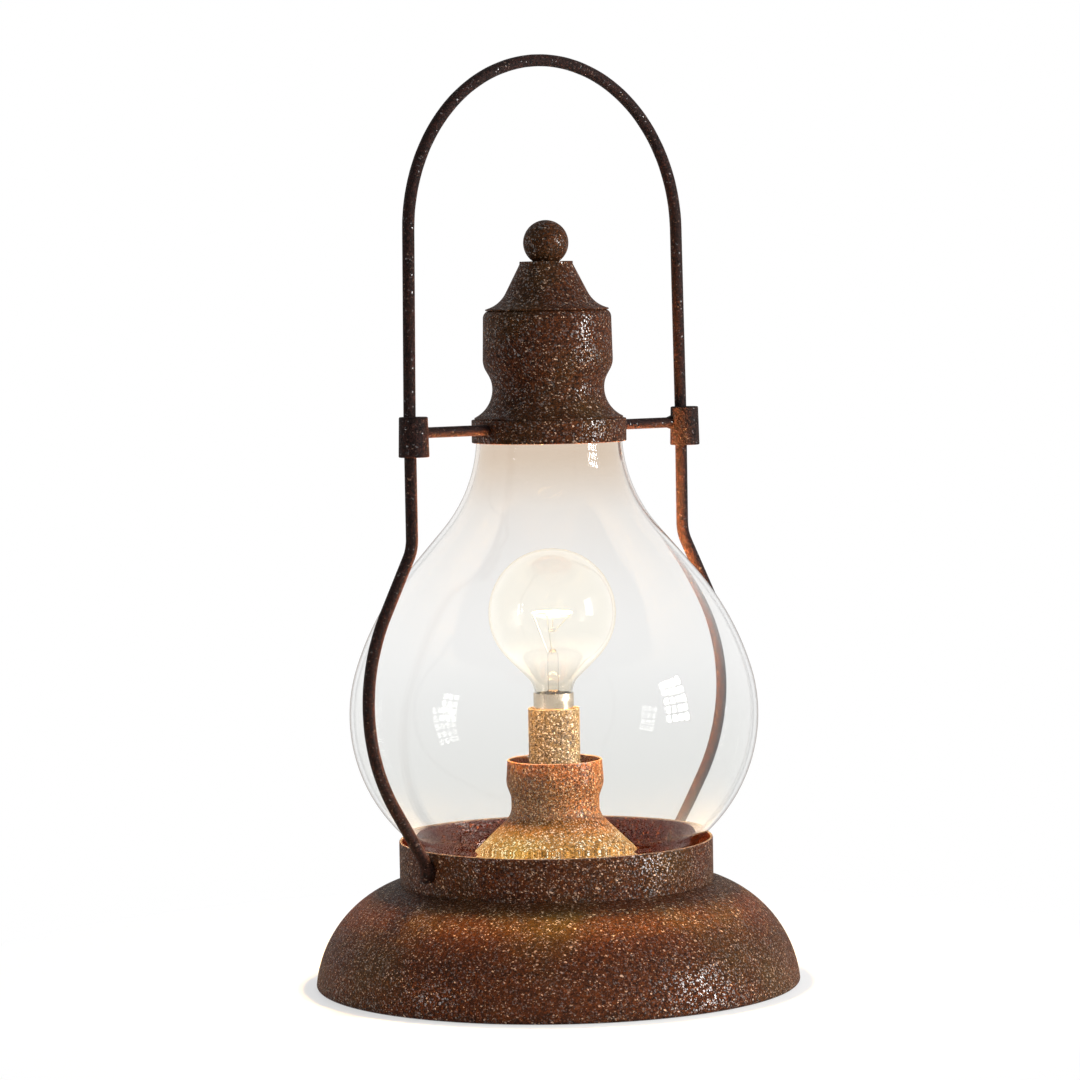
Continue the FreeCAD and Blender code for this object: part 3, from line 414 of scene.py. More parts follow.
SMUDGE_FROM, SMUDGE_FINENESS, SMUDGE_RELIEF = (0.3, 0.7), 14.0, 2.0
SHADE_FROM, SHADES = (0.0, 3.0), (0.75, 1.2)
GLASS_SMUDGE_SCALE, GLASS_SHADOW, RIM_SHARE = 25.0, (0.96, 0.96, 0.95, 1), 0.85
GLOW_START, GLOW_FULL, GLOW_TONE_FULL = CAP_TOP + 4, FILAMENT_Z - 28, FILAMENT_Z - 14
GLOW_COLOUR, GLOW_STRENGTH = (1.0, 0.99, 0.95), 0.95
GLOW_HELD_BACK = 0.8       # of what other pieces mirror of it
FILAMENT_SCALE, FILAMENT_LEVELS = 300.0, (0.7, 1.3)


def make_sand_paint():
    """Rust-brown paint with sand in it: tone, grains, pale chips, glints and their relief."""
    tree, given, result = new_tree(
        "sand_paint", "ShaderNodeTree",
        [("Place", "NodeSocketVector", None), ("Dark", "NodeSocketColor", (0.009, 0.0035, 0.0018, 1)),
         ("Rust", "NodeSocketColor", (0.066, 0.018, 0.0045, 1)),
         ("Olive", "NodeSocketColor", (0.032, 0.018, 0.004, 1)),
         ("Chip Colour", "NodeSocketColor", (0.5, 0.34, 0.24, 1)), ("Chips", "NodeSocketFloat", 0.3),
         ("Glints", "NodeSocketFloat", 0.6)],
        [("Color", "NodeSocketColor", None), ("Roughness", "NodeSocketFloat", None),
         ("Coat", "NodeSocketFloat", None), ("Height", "NodeSocketFloat", None)])
    place = given["Place"]
    bent = warped(tree, place, BEND_SCALE, BEND_REACH)
    tone = noise(tree, place, TONE_SCALE, 5.0, Roughness=0.75)
    cloud = noise(tree, place, CLOUD_SCALE, 3.0)
    fine = noise(tree, place, FINE_SCALE)
    grain = add(tree, "ShaderNodeTexVoronoi", {"Vector": bent, "Scale": GRAIN_SCALE}).outputs
    one = add(tree, "ShaderNodeSeparateColor", {"Color": grain["Color"]}).outputs
    base = blend(tree, remap(tree, tone, RUST_FROM), given["Dark"], given["Rust"])
    base = blend(tree, remap(tree, cloud, OLIVE_FROM, OLIVE_SHARES), base, given["Olive"])
    toned = vector(tree, "SCALE", base, remap(tree, one[0], (0, 1), GRAIN_SHADES))
    share = calc(tree, "MULTIPLY", given["Chips"], remap(tree, cloud, CROWDING_FROM, CROWDING))
    large = chips(tree, bent, *LARGE_CHIPS, calc(tree, "MULTIPLY", share, LARGE_SHARE))
    mask = calc(tree, "MAXIMUM", large, chips(tree, bent, *SMALL_CHIPS, share))
    tree.links.new(blend(tree, mask, toned, given["Chip Colour"]), result["Color"])
    tree.links.new(remap(tree, one[1], (0, 1), GRAIN_ROUGHNESS), result["Roughness"])
    tree.links.new(chips(tree, bent, *GLINTS, given["Glints"]), result["Coat"])
    bumps = calc(tree, "SUBTRACT", 1.0, grain["Distance"])
    for layer, depth in ((fine, FINE_RELIEF), (tone, TONE_RELIEF), (mask, CHIP_RELIEF)):
        bumps = calc(tree, "ADD", bumps, calc(tree, "MULTIPLY", layer, depth))
    tree.links.new(bumps, result["Height"])
    return tree


def warped(tree, place, scale, reach):
    """Coordinates pushed about by a noise, so that what is drawn with them is drawn out and bent."""
    waves = add(tree, "ShaderNodeTexNoise", {"Vector": place, "Scale": scale, "Detail": 1.0})
    shift = vector(tree, "SUBTRACT", waves.outputs["Color"], HALF)
    return vector(tree, "ADD", place, vector(tree, "SCALE", shift, reach))


def chips(tree, place, scale, size, share):
    """A mask of scattered flecks, each drawn out its own way, of differing size and strength."""
    cells = add(tree, "ShaderNodeTexVoronoi", {"Vector": place, "Scale": scale}).outputs
    pick = add(tree, "ShaderNodeSeparateColor", {"Color": cells["Color"]}).outputs
    offset = vector(tree, "SCALE", vector(tree, "SUBTRACT", place, cells["Position"]), scale)
    grain = vector(tree, "NORMALIZE", vector(tree, "SUBTRACT", cells["Color"], HALF))
    along = vector(tree, "DOT_PRODUCT", offset, grain)
    square = vector(tree, "DOT_PRODUCT", offset, offset)
    stretched = calc(tree, "MULTIPLY", calc(tree, "MULTIPLY", along, along), FLECK_STRETCH)
    distance = calc(tree, "SQRT", calc(tree, "MAXIMUM", calc(tree, "SUBTRACT", square, stretched), 0.0))
    chosen = calc(tree, "LESS_THAN", pick[0], share)
    reach = calc(tree, "MULTIPLY", calc(tree, "ADD", pick[1], FLECK_LEAST_SIZE), size)
    near = remap(tree, calc(tree, "SUBTRACT", reach, distance), FLECK_EDGE)
    strength = remap(tree, pick[2], (0, 1), (FLECK_LEAST_STRENGTH, 1.0))
    return calc(tree, "MULTIPLY", calc(tree, "MULTIPLY", chosen, near), strength)


def make_smudge():
    """Faint wiping marks on smooth surfaces: a mask that varies over the surface, and fine relief."""
    tree, given, result = new_tree(
        "smudge", "ShaderNodeTree",
        [("Place", "NodeSocketVector", None), ("Scale", "NodeSocketFloat", 60.0),
         ("Low", "NodeSocketFloat", 0.1), ("High", "NodeSocketFloat", 0.3)],
        [("Value", "NodeSocketFloat", None), ("Height", "NodeSocketFloat", None)])
    place, scale = given["Place"], given["Scale"]
    wide = noise(tree, place, scale, 4.0, Distortion=0.8)
    fine = noise(tree, place, calc(tree, "MULTIPLY", scale, SMUDGE_FINENESS))
    tree.links.new(remap(tree, wide, SMUDGE_FROM, (given["Low"], given["High"])), result["Value"])
    height = calc(tree, "ADD", fine, calc(tree, "MULTIPLY", wide, SMUDGE_RELIEF))
    tree.links.new(height, result["Height"])
    return tree


def new_material(name):
    """An empty material with its object coordinates, its principled shader and its output."""
    finish = bpy.data.materials.new(name)
    finish.use_nodes = True
    tree = finish.node_tree
    tree.nodes.clear()
    place = add(tree, "ShaderNodeTexCoord").outputs["Object"]
    shader = add(tree, "ShaderNodeBsdfPrincipled")
    output = add(tree, "ShaderNodeOutputMaterial", {"Surface": shader.outputs[0]})
    return finish, tree, place, shader, output


def fill_in(made, **values):
    """Sets a node's inputs; an underscore in a name stands for a space."""
    for label, value in values.items():
        made.inputs[label.replace("_", " ")].default_value = value


def height_of(tree, place):
    return add(tree, "ShaderNodeSeparateXYZ", {0: place}).outputs[2]


def facing_of(tree):
    return add(tree, "ShaderNodeLayerWeight", {"Blend": 0.5}).outputs["Facing"]


def relief(tree, shader, height, distance):
    bump = add(tree, "ShaderNodeBump", {"Height": height, "Distance": distance})
    tree.links.new(bump.outputs[0], shader.inputs["Normal"])


def span(tree, value, rise, fall):
    """1 between a rising and a falling flank, each (from, to) in millimetres, and 0 outside them."""
    up = remap(tree, value, (rise[0] * MM, rise[1] * MM), kind="SMOOTHSTEP")
    down = remap(tree, value, (fall[0] * MM, fall[1] * MM), (1.0, 0.0), kind="SMOOTHSTEP")
    return calc(tree, "MULTIPLY", up, down)


def painted(name, chip_share, relief_depth, shade_inside=None, rim_z=0.0, zone=None, glints=0.6, **colours):
    """Sand-textured paint with its own colours and share of pale chips.

    It is darkened inside a wall, a painted shade, given as (radius, lean, lowest height, tint), and
    lightened along a rim by a ragged pale line, a painted highlight. It is tinted in a zone too, given
    as (axis, rise, fall, tint, share) over the radius or the height; the share is what is left of the
    tint on the lamp's far side. On the dome the zone is a painted glow of the bulb's light.
    """
    finish, tree, place, shader, _ = new_material(name)
    group = add(tree, "ShaderNodeGroup", {"Place": place, "Chips": chip_share, "Glints": glints},
                node_tree=SAND_PAINT)
    fill_in(group, **{label: (*value, 1) for label, value in colours.items()})
    colour = group.outputs["Color"]
    flat = vector(tree, "MULTIPLY", place, (1, 1, 0))
    radius, height = vector(tree, "LENGTH", flat), height_of(tree, place)
    patchy = noise(tree, place, PATCH_SCALE, 3.0)
    # A zone's tint; on the dome it is a painted glow of the bulb's light on its shoulder, strongest on the
    # near side.
    if zone:
        axis, rise, fall, tint, far_share = zone
        wander = calc(tree, "MULTIPLY", calc(tree, "SUBTRACT", patchy, 0.5), ZONE_WANDER * MM)
        ragged = calc(tree, "ADD", radius if axis == "radius" else height, wander)
        toward = vector(tree, "DOT_PRODUCT", vector(tree, "NORMALIZE", flat), NEAR_SIDE)
        near = remap(tree, toward, NEAR_FROM, (far_share, 1.0))
        share = calc(tree, "MULTIPLY", span(tree, ragged, rise, fall), near)
        colour = blend(tree, share, colour, vector(tree, "MULTIPLY", colour, tint))
    # Painted shade: darker inside a wall, below its rim.
    if shade_inside:
        wall_r, lean, lowest, tint = shade_inside
        depth = calc(tree, "SUBTRACT", rim_z * MM, height)
        edge = calc(tree, "ADD", wall_r * MM, calc(tree, "MULTIPLY", depth, lean))
        in_shade = calc(tree, "MULTIPLY", calc(tree, "LESS_THAN", radius, edge),
                      calc(tree, "GREATER_THAN", height, lowest * MM))
        colour = blend(tree, in_shade, colour, vector(tree, "MULTIPLY", colour, tint))
    # Painted highlight: a ragged pale line just below a rim.
    if rim_z:
        rim = remap(tree, height, [(rim_z - below) * MM for below in RIM_HIGHLIGHT_DEPTHS])
        rim_highlight = remap(tree, patchy, RIM_HIGHLIGHT_FROM, RIM_HIGHLIGHT_SHARES)
        colour = blend(tree, calc(tree, "MULTIPLY", rim, rim_highlight), colour, (*RIM_HIGHLIGHT_COLOUR, 1))
    tree.links.new(colour, shader.inputs["Base Color"])
    tree.links.new(group.outputs["Roughness"], shader.inputs["Roughness"])
    frontal = remap(tree, facing_of(tree), GLINTS_FADE, (1.0, 0.0))
    tree.links.new(calc(tree, "MULTIPLY", group.outputs["Coat"], frontal), shader.inputs["Coat Weight"])
    fill_in(shader, Specular_IOR_Level=PAINT_GLOSS, Coat_Roughness=COAT_ROUGHNESS, Coat_IOR=COAT_IOR)
    relief(tree, shader, group.outputs["Height"], relief_depth)
    return finish


def smudged(tree, place, scale, low, high):
    group = add(tree, "ShaderNodeGroup", {"Place": place, "Scale": scale, "Low": low, "High": high},
                node_tree=SMUDGE)
    return group.outputs["Value"], group.outputs["Height"]


def smooth_finish(name, colour, low, high, scale=60.0, metallic=0.0, depth=0.00002):
    """A plain finish whose gloss varies with faint wiping marks."""
    finish, tree, place, shader, _ = new_material(name)
    roughness, height = smudged(tree, place, scale, low, high)
    shade = remap(tree, height, SHADE_FROM, SHADES)
    tree.links.new(vector(tree, "SCALE", colour, shade), shader.inputs["Base Color"])
    tree.links.new(roughness, shader.inputs["Roughness"])
    fill_in(shader, Metallic=metallic)
    relief(tree, shader, height, depth)
    return finish


def glass(name, colour, rim_colour, rim_start, low, high, mirror=1.0, index=1.47, tones=()):
    """Clear glass that lets the bulb's light through; its outline shows as a thin darker rim.

    The mirror share scales what it reflects when seen square on. Tones, given as (height, colour)
    upwards, take the place of the one colour.
    """
    finish, tree, place, shader, output = new_material(name)
    roughness, _ = smudged(tree, place, GLASS_SMUDGE_SCALE, low, high)
    tree.links.new(roughness, shader.inputs["Roughness"])
    fill_in(shader, Base_Color=(*colour, 1), Transmission_Weight=1.0, IOR=index,
            Specular_Tint=(mirror, mirror, mirror, 1))
    if tones:
        low_z, high_z = tones[0][0], tones[-1][0]
        rise = remap(tree, height_of(tree, place), (low_z * MM, high_z * MM))
        ramp = add(tree, "ShaderNodeValToRGB", {0: rise})
        ramp.color_ramp.interpolation = "B_SPLINE"
        stops = ramp.color_ramp.elements
        for level, tone in tones[1:-1]:
            stops.new((level - low_z) / (high_z - low_z)).color = (*tone, 1)
        stops[0].color, stops[-1].color = (*tones[0][1], 1), (*tones[-1][1], 1)
        tree.links.new(ramp.outputs[0], shader.inputs["Base Color"])
    rim = remap(tree, facing_of(tree), (rim_start, 1.0), (0.0, RIM_SHARE))
    outline = add(tree, "ShaderNodeBsdfTransparent", {"Color": (*rim_colour, 1)})
    body = add(tree, "ShaderNodeMixShader", {0: rim, 1: shader.outputs[0], 2: outline.outputs[0]})
    clear = add(tree, "ShaderNodeBsdfTransparent", {"Color": GLASS_SHADOW})
    path = add(tree, "ShaderNodeLightPath")
    mix = add(tree, "ShaderNodeMixShader",
              {0: path.outputs["Is Shadow Ray"], 1: body.outputs[0], 2: clear.outputs[0]})
    tree.links.new(mix.outputs[0], output.inputs["Surface"])
    return finish, tree, place, shader


def lit_bulb_glass():
    """Bulb glass full of light: it glows round the filament and clears towards the neck."""
    tones = ((GLOW_START, (0.94, 0.9, 0.82)), (GLOW_TONE_FULL, (0.6, 0.59, 0.56)))
    finish, tree, place, shader = glass("bulb_glass", (0.94, 0.9, 0.84), (0.85, 0.76, 0.6), 0.72, 0.0, 0.05,
                                        tones=tones)
    glow = remap(tree, height_of(tree, place), (GLOW_START * MM, GLOW_FULL * MM))
    mirrored = add(tree, "ShaderNodeLightPath").outputs["Is Glossy Ray"]
    direct = calc(tree, "SUBTRACT", 1.0, calc(tree, "MULTIPLY", mirrored, GLOW_HELD_BACK))
    light = vector(tree, "SCALE", GLOW_COLOUR, calc(tree, "MULTIPLY", glow, direct))
    tree.links.new(light, shader.inputs["Emission Color"])
    fill_in(shader, Emission_Strength=GLOW_STRENGTH)
    return finish


def glowing(name, colour, strength):
    """A glowing wire, a little uneven along its length."""
    finish, tree, place, shader, _ = new_material(name)
    level = remap(tree, noise(tree, place, FILAMENT_SCALE), (0, 1), FILAMENT_LEVELS)
    tree.links.new(vector(tree, "SCALE", colour, level), shader.inputs["Emission Color"])
    fill_in(shader, Emission_Strength=strength, Base_Color=(*colour, 1))
    return finish


SPIN = make_spin_tree()
WIRE = make_wire_tree()
SAND_PAINT = make_sand_paint()
SMUDGE = make_smudge()

SAND_DEPTH, FINE_DEPTH, WIRE_DEPTH, SMOOTH_DEPTH = 0.00035, 0.0003, 0.0002, 0.0001
# Painted shade: the dome's floor and the collar's inner wall are darkened inside the collar.
PAINTED_SHADE_IN_COLLAR = (COLLAR_R - COLLAR_WALL / 2, 0.0, 0.0, (0.24, 0.12, 0.09))
# Painted shade: the pedestal cup is darkened just inside its mouth, round the sleeve.
PAINTED_SHADE_IN_PEDESTAL = (28.66, 0.134, PEDESTAL_TOP - 10, (0.07, 0.07, 0.09))
# Painted light: a golden band on the dome's shoulder, where the bulb's light falls and gleams.
DOME_PAINTED_BULB_GLOW = ("radius", (106, 114), (122, 133), (1.9, 2.1, 1.8), 0.0)
# Pedestal and sleeve: brighter, more golden copies of the rust paint, painted light of the bulb shining on
# them; the pedestal's skirt turns yellower towards its foot.
SKIRT_FOOT = ("height", (BASE_H - 9, BASE_H), (BASE_H + 26, BASE_H + 44), (0.62, 1.4, 3.2), 1.0)
PEDESTAL_PAINTED_LIGHT_TONES = {"Dark": (0.02, 0.006, 0.0015), "Rust": (0.27, 0.075, 0.01),
                  "Olive": (0.2, 0.08, 0.012), "Chip_Colour": (0.75, 0.5, 0.26)}
SLEEVE_PAINTED_LIGHT_TONES = {"Dark": (0.025, 0.012, 0.006), "Rust": (0.18, 0.12, 0.05),
                "Olive": (0.2, 0.15, 0.065), "Chip_Colour": (0.8, 0.7, 0.52)}
WIRE_TONES = {"Dark": (0.004, 0.003, 0.003), "Rust": (0.022, 0.008, 0.006),
              "Olive": (0.009, 0.006, 0.005), "Chip_Colour": (0.12, 0.08, 0.06)}
COVER_TONES = {"Dark": (0.01, 0.01, 0.01), "Rust": (0.022, 0.02, 0.018), "Olive": (0.014, 0.013, 0.012)}
# Tint of the globe glass up its height: greyer low down, clearest round the bulb, and peach at the top, a
# painted glow of the bulb reflected under the ring.
GLOBE_TINT_AND_PAINTED_GLOW = ((BASE_H + 35, (0.86, 0.863, 0.845)), (BASE_H + 105, (0.905, 0.907, 0.9)),
               (BASE_H + 150, (0.965, 0.965, 0.96)), (BASE_H + 230, (0.925, 0.917, 0.905)),
               (BASE_H + 266, (0.81, 0.715, 0.62)))

# The dome's paint carries painted shade inside the collar and a painted glow of the bulb on its shoulder.
RUST = painted("rust_paint", 0.22, SAND_DEPTH, PAINTED_SHADE_IN_COLLAR, zone=DOME_PAINTED_BULB_GLOW)
COLLAR_PAINT = painted("rust_paint_collar", 0.26, SAND_DEPTH, PAINTED_SHADE_IN_COLLAR, BASE_H + COLLAR_H)
RUST_CAP = painted("rust_paint_cap", 0.2, SAND_DEPTH)
# The pedestal's and the sleeve's paint carry painted light of the bulb.
PEDESTAL_LIT_PAINT = painted("rust_paint_pedestal_painted_lit", 0.6, SAND_DEPTH, PAINTED_SHADE_IN_PEDESTAL, PEDESTAL_TOP, SKIRT_FOOT,
                         **PEDESTAL_PAINTED_LIGHT_TONES)
SLEEVE_LIT_PAINT = painted("rust_paint_sleeve_painted_lit", 0.7, FINE_DEPTH, rim_z=SLEEVE_TOP, **SLEEVE_PAINTED_LIGHT_TONES)
BALL_PAINT = painted("rust_paint_ball", 0.06, FINE_DEPTH)
WIRE_PAINT = painted("wire_paint", 0.1, WIRE_DEPTH, glints=0.1, **WIRE_TONES)
INSIDE_PAINT = painted("inside_paint", 0.08, SMOOTH_DEPTH)
COVER_PAINT = painted("cover_paint", 0.02, SMOOTH_DEPTH, **COVER_TONES)
ZINC = smooth_finish("zinc_steel", (0.55, 0.55, 0.53), 0.25, 0.45, metallic=1.0)
BRASS = smooth_finish("holder_brass", (0.72, 0.5, 0.2), 0.2, 0.4, metallic=1.0)
CAP_METAL = smooth_finish("bulb_metal", (0.64, 0.53, 0.4), 0.12, 0.3, scale=120.0, metallic=1.0)
SOLDER = smooth_finish("solder", (0.5, 0.5, 0.48), 0.3, 0.5, scale=300.0, metallic=1.0)
LEADS = smooth_finish("lead_wire", (0.6, 0.56, 0.5), 0.2, 0.4, metallic=1.0)
RUBBER = smooth_finish("black_rubber", (0.02, 0.02, 0.02), 0.55, 0.8, scale=200.0, depth=0.00006)
FELT = smooth_finish("felt", (0.035, 0.03, 0.027), 0.9, 1.0, scale=700.0, depth=0.0004)
PLASTIC = smooth_finish("holder_plastic", (0.03, 0.027, 0.024), 0.4, 0.6, scale=150.0)
INSULATION = smooth_finish("bulb_insulation", (0.03, 0.03, 0.035), 0.1, 0.2)
GLOBE_GLASS = glass("clear_glass", (0.95, 0.95, 0.95), (0.45, 0.37, 0.3), 0.84, 0.0, 0.012, 0.6, 1.32,
                    GLOBE_TINT_AND_PAINTED_GLOW)[0]
STEM_GLASS = glass("stem_glass", (0.97, 0.96, 0.94), (0.5, 0.42, 0.34), 0.5, 0.0, 0.05)[0]
BULB_GLASS = lit_bulb_glass()
FILAMENT = glowing("filament", (1.0, 0.78, 0.42), 30.0)


# ---- Base ----

def dome_flank():
    """Radius and turn of the arc between the crease under the collar and the rounded foot edge."""
    crease_end = Vector((COLLAR_R, BASE_H - CREASE_R)) + left_of(-BASE_SLOPE) * CREASE_R
    edge_centre = Vector((BASE_R - BASE_EDGE_R, DOME_FOOT + BASE_EDGE_R))
    to_start = crease_end - edge_centre
    into = left_of(-BASE_SLOPE) * -1
    radius = (to_start.dot(to_start) - BASE_EDGE_R ** 2) / (-2 * (to_start.dot(into) + BASE_EDGE_R))
    last = edge_centre - (crease_end + into * radius)
    return radius, (90 - BASE_SLOPE) - math.degrees(math.atan2(last.y, last.x))


def build_base():
    radius, turn = dome_flank()
    moves = [(COLLAR_R - DOME_HOLE_R,), (CREASE_R, -BASE_SLOPE), (radius, -turn),
             (BASE_EDGE_R, -(180 - BASE_SLOPE - turn)), (FOOT_BEND_R, -90.0), (LEDGE_BEND_R, 90.0),
             (LEDGE_W,)]
    dome = soften(wall_outline((DOME_HOLE_R, BASE_H), 0.0, moves, -BASE_WALL))
    dress(spun("dome_shell", dome, RUST, WIDE_STEPS), FRAME_BODY, "rust_paint", "base_dome")
    collar = wall_outline((COLLAR_R, BASE_H), 90.0, [(COLLAR_H - COLLAR_WALL / 2,)], COLLAR_WALL,
                          round_end=True)
    dress(spun("collar_band", collar, COLLAR_PAINT, WIDE_STEPS), FRAME_BODY, "rust_paint", "base_collar")


def build_pedestal():
    skirt = (PED_SKIRT_H - PED_SKIRT_BEND_R * sin(PED_SKIRT_SLOPE)) / cos(PED_SKIRT_SLOPE)
    foot_r = PED_WAIST_R + PED_SKIRT_BEND_R * (1 - cos(PED_SKIRT_SLOPE)) + skirt * sin(PED_SKIRT_SLOPE)
    moves = [(skirt,), (PED_SKIRT_BEND_R, -PED_SKIRT_SLOPE), (PED_WAIST_H,), (PED_LIP_BEND_R, -PED_LIP_TURN),
             (PED_LIP_RUN,), (PED_BULGE_R, PED_LIP_TURN + PED_RIM_TURN), (PED_RIM_H,)]
    outline = wall_outline((foot_r, BASE_H), 90 + PED_SKIRT_SLOPE, moves, PED_WALL, round_end=True)
    outline = [Vector((p.x, max(p.y, BASE_H))) for p in outline]
    dress(spun("pedestal_shell", outline, PEDESTAL_LIT_PAINT), FRAME_BODY, "rust_paint", "pedestal_cup")
    sleeve = wall_outline((SLEEVE_R, SLEEVE_LOW), 90.0, [(SLEEVE_TOP - SLEEVE_LOW - SLEEVE_WALL / 2,)],
                          SLEEVE_WALL, round_end=True)
    sleeve = spun("lampholder_sleeve", sleeve, SLEEVE_LIT_PAINT, SLEEVE_STEPS)
    dress(sleeve, FRAME_BODY, "rust_paint", "socket_sleeve")


# ---- Glass ----

def build_globe():
    foot_bow = GLASS_BELLY_R + GLASS_FOOT_BEND_R
    foot_turn = math.degrees(math.acos(1 - (GLASS_R - GLASS_FOOT_R) / foot_bow))
    lean = GLASS_SIDE_TURN + GLASS_SHOULDER_TURN
    shoulder_end = (GLASS_R - GLASS_SIDE_R * (1 - cos(GLASS_SIDE_TURN))
                    - GLASS_SHOULDER_R * (cos(GLASS_SIDE_TURN) - cos(lean)))
    slope = (shoulder_end - GLASS_NECK_R - GLASS_THROAT_R * (1 - cos(lean))) / sin(lean)
    moves = [(GLASS_FOOT_LEN,), (GLASS_FOOT_BEND_R, -foot_turn), (GLASS_BELLY_R, foot_turn),
             (GLASS_SIDE_R, GLASS_SIDE_TURN), (GLASS_SHOULDER_R, GLASS_SHOULDER_TURN), (slope,),
             (GLASS_THROAT_R, -lean), (GLASS_NECK_LEN,)]
    outline = wall_outline((GLASS_FOOT_R, GLASS_FOOT + GLASS_WALL / 2), 90.0, moves, GLASS_WALL,
                           round_start=True, round_end=True)
    globe = spun("globe", outline, GLOBE_GLASS, WIDE_STEPS)
    dress(globe, FRAME_BODY, "clear_glass", "globe_bowl", "globe_shoulder")


# ---- Bulb ----

def build_bulb():
    slope = 90 - BULB_FLANK
    flank = (BULB_R * cos(slope) - BULB_NECK_R - BULB_NECK_BEND_R * (1 - cos(slope))) / sin(slope)
    moves = [(BULB_NECK_LEN,), (BULB_NECK_BEND_R, -slope), (flank,), (BULB_R, 90 + slope)]
    start = (BULB_NECK_R, CAP_TOP - BULB_NECK_LEN)
    outer, _ = walk(start, 90.0, moves)
    inner, _ = walk(start, 90.0, moves, BULB_WALL)
    outer[-1].x = inner[-1].x = 0.0
    dress(spun("bulb_envelope", outer + inner[::-1], BULB_GLASS), BULB_BODY, "bulb_glass", "bulb_glass")


# ---- Ring and chimney cap ----

def build_ring():
    inner = RING_R - RING_WALL
    foot, lip = RING_TOP - RING_H, RING_TOP - RING_LIP_T
    corners = [(inner, foot), (RING_R, foot), (RING_R, RING_TOP), (RING_MOUTH_R, RING_TOP),
               (RING_MOUTH_R, lip), (inner, lip)]
    ring = spun("neck_ring", soften(corners, RING_EDGE), RUST_CAP)
    dress(ring, FRAME_BODY, "rust_paint", "cap_ring")


def cap_walk():
    waist_r = CAP_FOOT_R - CAP_FLARE_R * (1 - cos(CAP_FLARE_TURN))
    lean = CAP_WAIST_TURN
    drum_run = (CAP_DRUM_R - waist_r - (CAP_WAIST_BEND_R + CAP_DRUM_BEND_R) * (1 - cos(lean))) / sin(lean)
    return [(CAP_FLARE_R, -CAP_FLARE_TURN), (CAP_WAIST_BEND_R, -lean), (drum_run,),
            (CAP_DRUM_BEND_R, lean + CAP_DRUM_LEAN), (CAP_DRUM_H,), (CAP_SHOULDER_R, CAP_SHOULDER_TURN),
            (CAP_SHOULDER_W,)]


def build_chimney_cap():
    start, heading = (CAP_FOOT_R, RING_TOP + SHELL_WALL), 90.0 + CAP_FLARE_TURN
    outer, _ = walk(start, heading, cap_walk())
    inner, _ = walk(start, heading, cap_walk(), SHELL_WALL)
    inner = [p for p in inner if p.y > RING_TOP + SHELL_WALL]
    foot = [Vector((CAP_FOOT_LIP_R, RING_TOP + SHELL_WALL)), Vector((CAP_FOOT_LIP_R, RING_TOP)),
            Vector((CAP_FOOT_R, RING_TOP))]
    body = spun("cap_drum", soften(outer + inner[::-1] + foot), RUST_CAP)
    dress(body, CAP_BODY, "rust_paint", "cap_body")
    end = outer[-1]
    slope = 90.0 + CAP_DRUM_LEAN + CAP_SHOULDER_TURN
    upward = left_of(slope) * -1
    foot_z = end.y + (SHELL_WALL + CROWN_SEAM - (CROWN_R - end.x) * upward.x) / upward.y
    edge_run = CROWN_BEND_R * (sin(CROWN_SLOPE) - sin(slope))
    rim_run = CROWN_RIM_BEND_R * (1 - sin(CROWN_SLOPE))
    cone_run = (CROWN_R - edge_run - rim_run - CROWN_TOP_R) / -cos(CROWN_SLOPE)
    moves = [(CROWN_BEND_R, CROWN_SLOPE - slope), (cone_run,), (CROWN_RIM_BEND_R, 90.0 - CROWN_SLOPE),
             (CROWN_RIM_H,)]
    outer, _ = walk((CROWN_R, foot_z), slope, moves)
    inner, _ = walk((CROWN_R, foot_z), slope, moves[:-2], SHELL_WALL)
    top = outer[-1].y
    plate = [Vector((0, top)), Vector((0, top - CROWN_RIM_H)),
             Vector((inner[-1].x - PLATE_LAP, top - CROWN_RIM_H))]
    begin = rounded_end(inner[0], outer[0], ahead(slope) * -1)
    crown = spun("cap_cone", soften(outer + plate + inner[::-1] + begin), RUST_CAP)
    dress(crown, CAP_BODY, "rust_paint", "cap_crown")
    corners = [(SPIGOT_R - SPIGOT_WALL, RING_TOP - SPIGOT_LEN), (SPIGOT_R, RING_TOP - SPIGOT_LEN),
               (SPIGOT_R, RING_TOP), (SPIGOT_R - SPIGOT_WALL, RING_TOP)]
    dress(spun("cap_spigot_band", soften(corners), INSIDE_PAINT), CAP_BODY, "spigot_paint", "cap_spigot")
    centre = CROWN_TOP + BALL_DROP
    flat = math.degrees(math.asin(BALL_DROP / BALL_R))
    ball = [Vector((0, CROWN_TOP))]
    ball += [Vector((0, centre)) + ahead((90 + flat) * k / BALL_ARC_STEPS - flat) * BALL_R
             for k in range(BALL_ARC_STEPS + 1)]
    ball[-1].x = 0.0
    dress(spun("ball", ball, BALL_PAINT, BALL_STEPS), CAP_BODY, "rust_paint", "ball_finial")


# ---- Wire frame ----

def upright(points, side=1):
    """Points of the XZ plane as places in space, on the right or mirrored to the left."""
    return [(side * p.x, 0.0, p.y) for p in points]


def bail_path():
    start_z = (FERRULE_LOW + FERRULE_TOP + WIRE_END_GAP) / 2
    rise = ARM_Z + BAIL_RISE - FERRULE_TOP
    reach = math.hypot(POST_R, rise)
    lean = math.degrees(math.acos(BAIL_R / reach) - math.atan2(rise, POST_R))
    bend_run = BAIL_FOOT_BEND_R * math.tan(math.radians(lean / 2))
    leg = math.sqrt(reach ** 2 - BAIL_R ** 2) - bend_run
    foot = FERRULE_TOP - start_z - bend_run
    moves = [(foot,), (BAIL_FOOT_BEND_R, lean), (leg,), (BAIL_R, 180.0 - 2 * lean), (leg,),
             (BAIL_FOOT_BEND_R, lean), (foot,)]
    return walk((POST_R, start_z), 90.0, moves)[0]


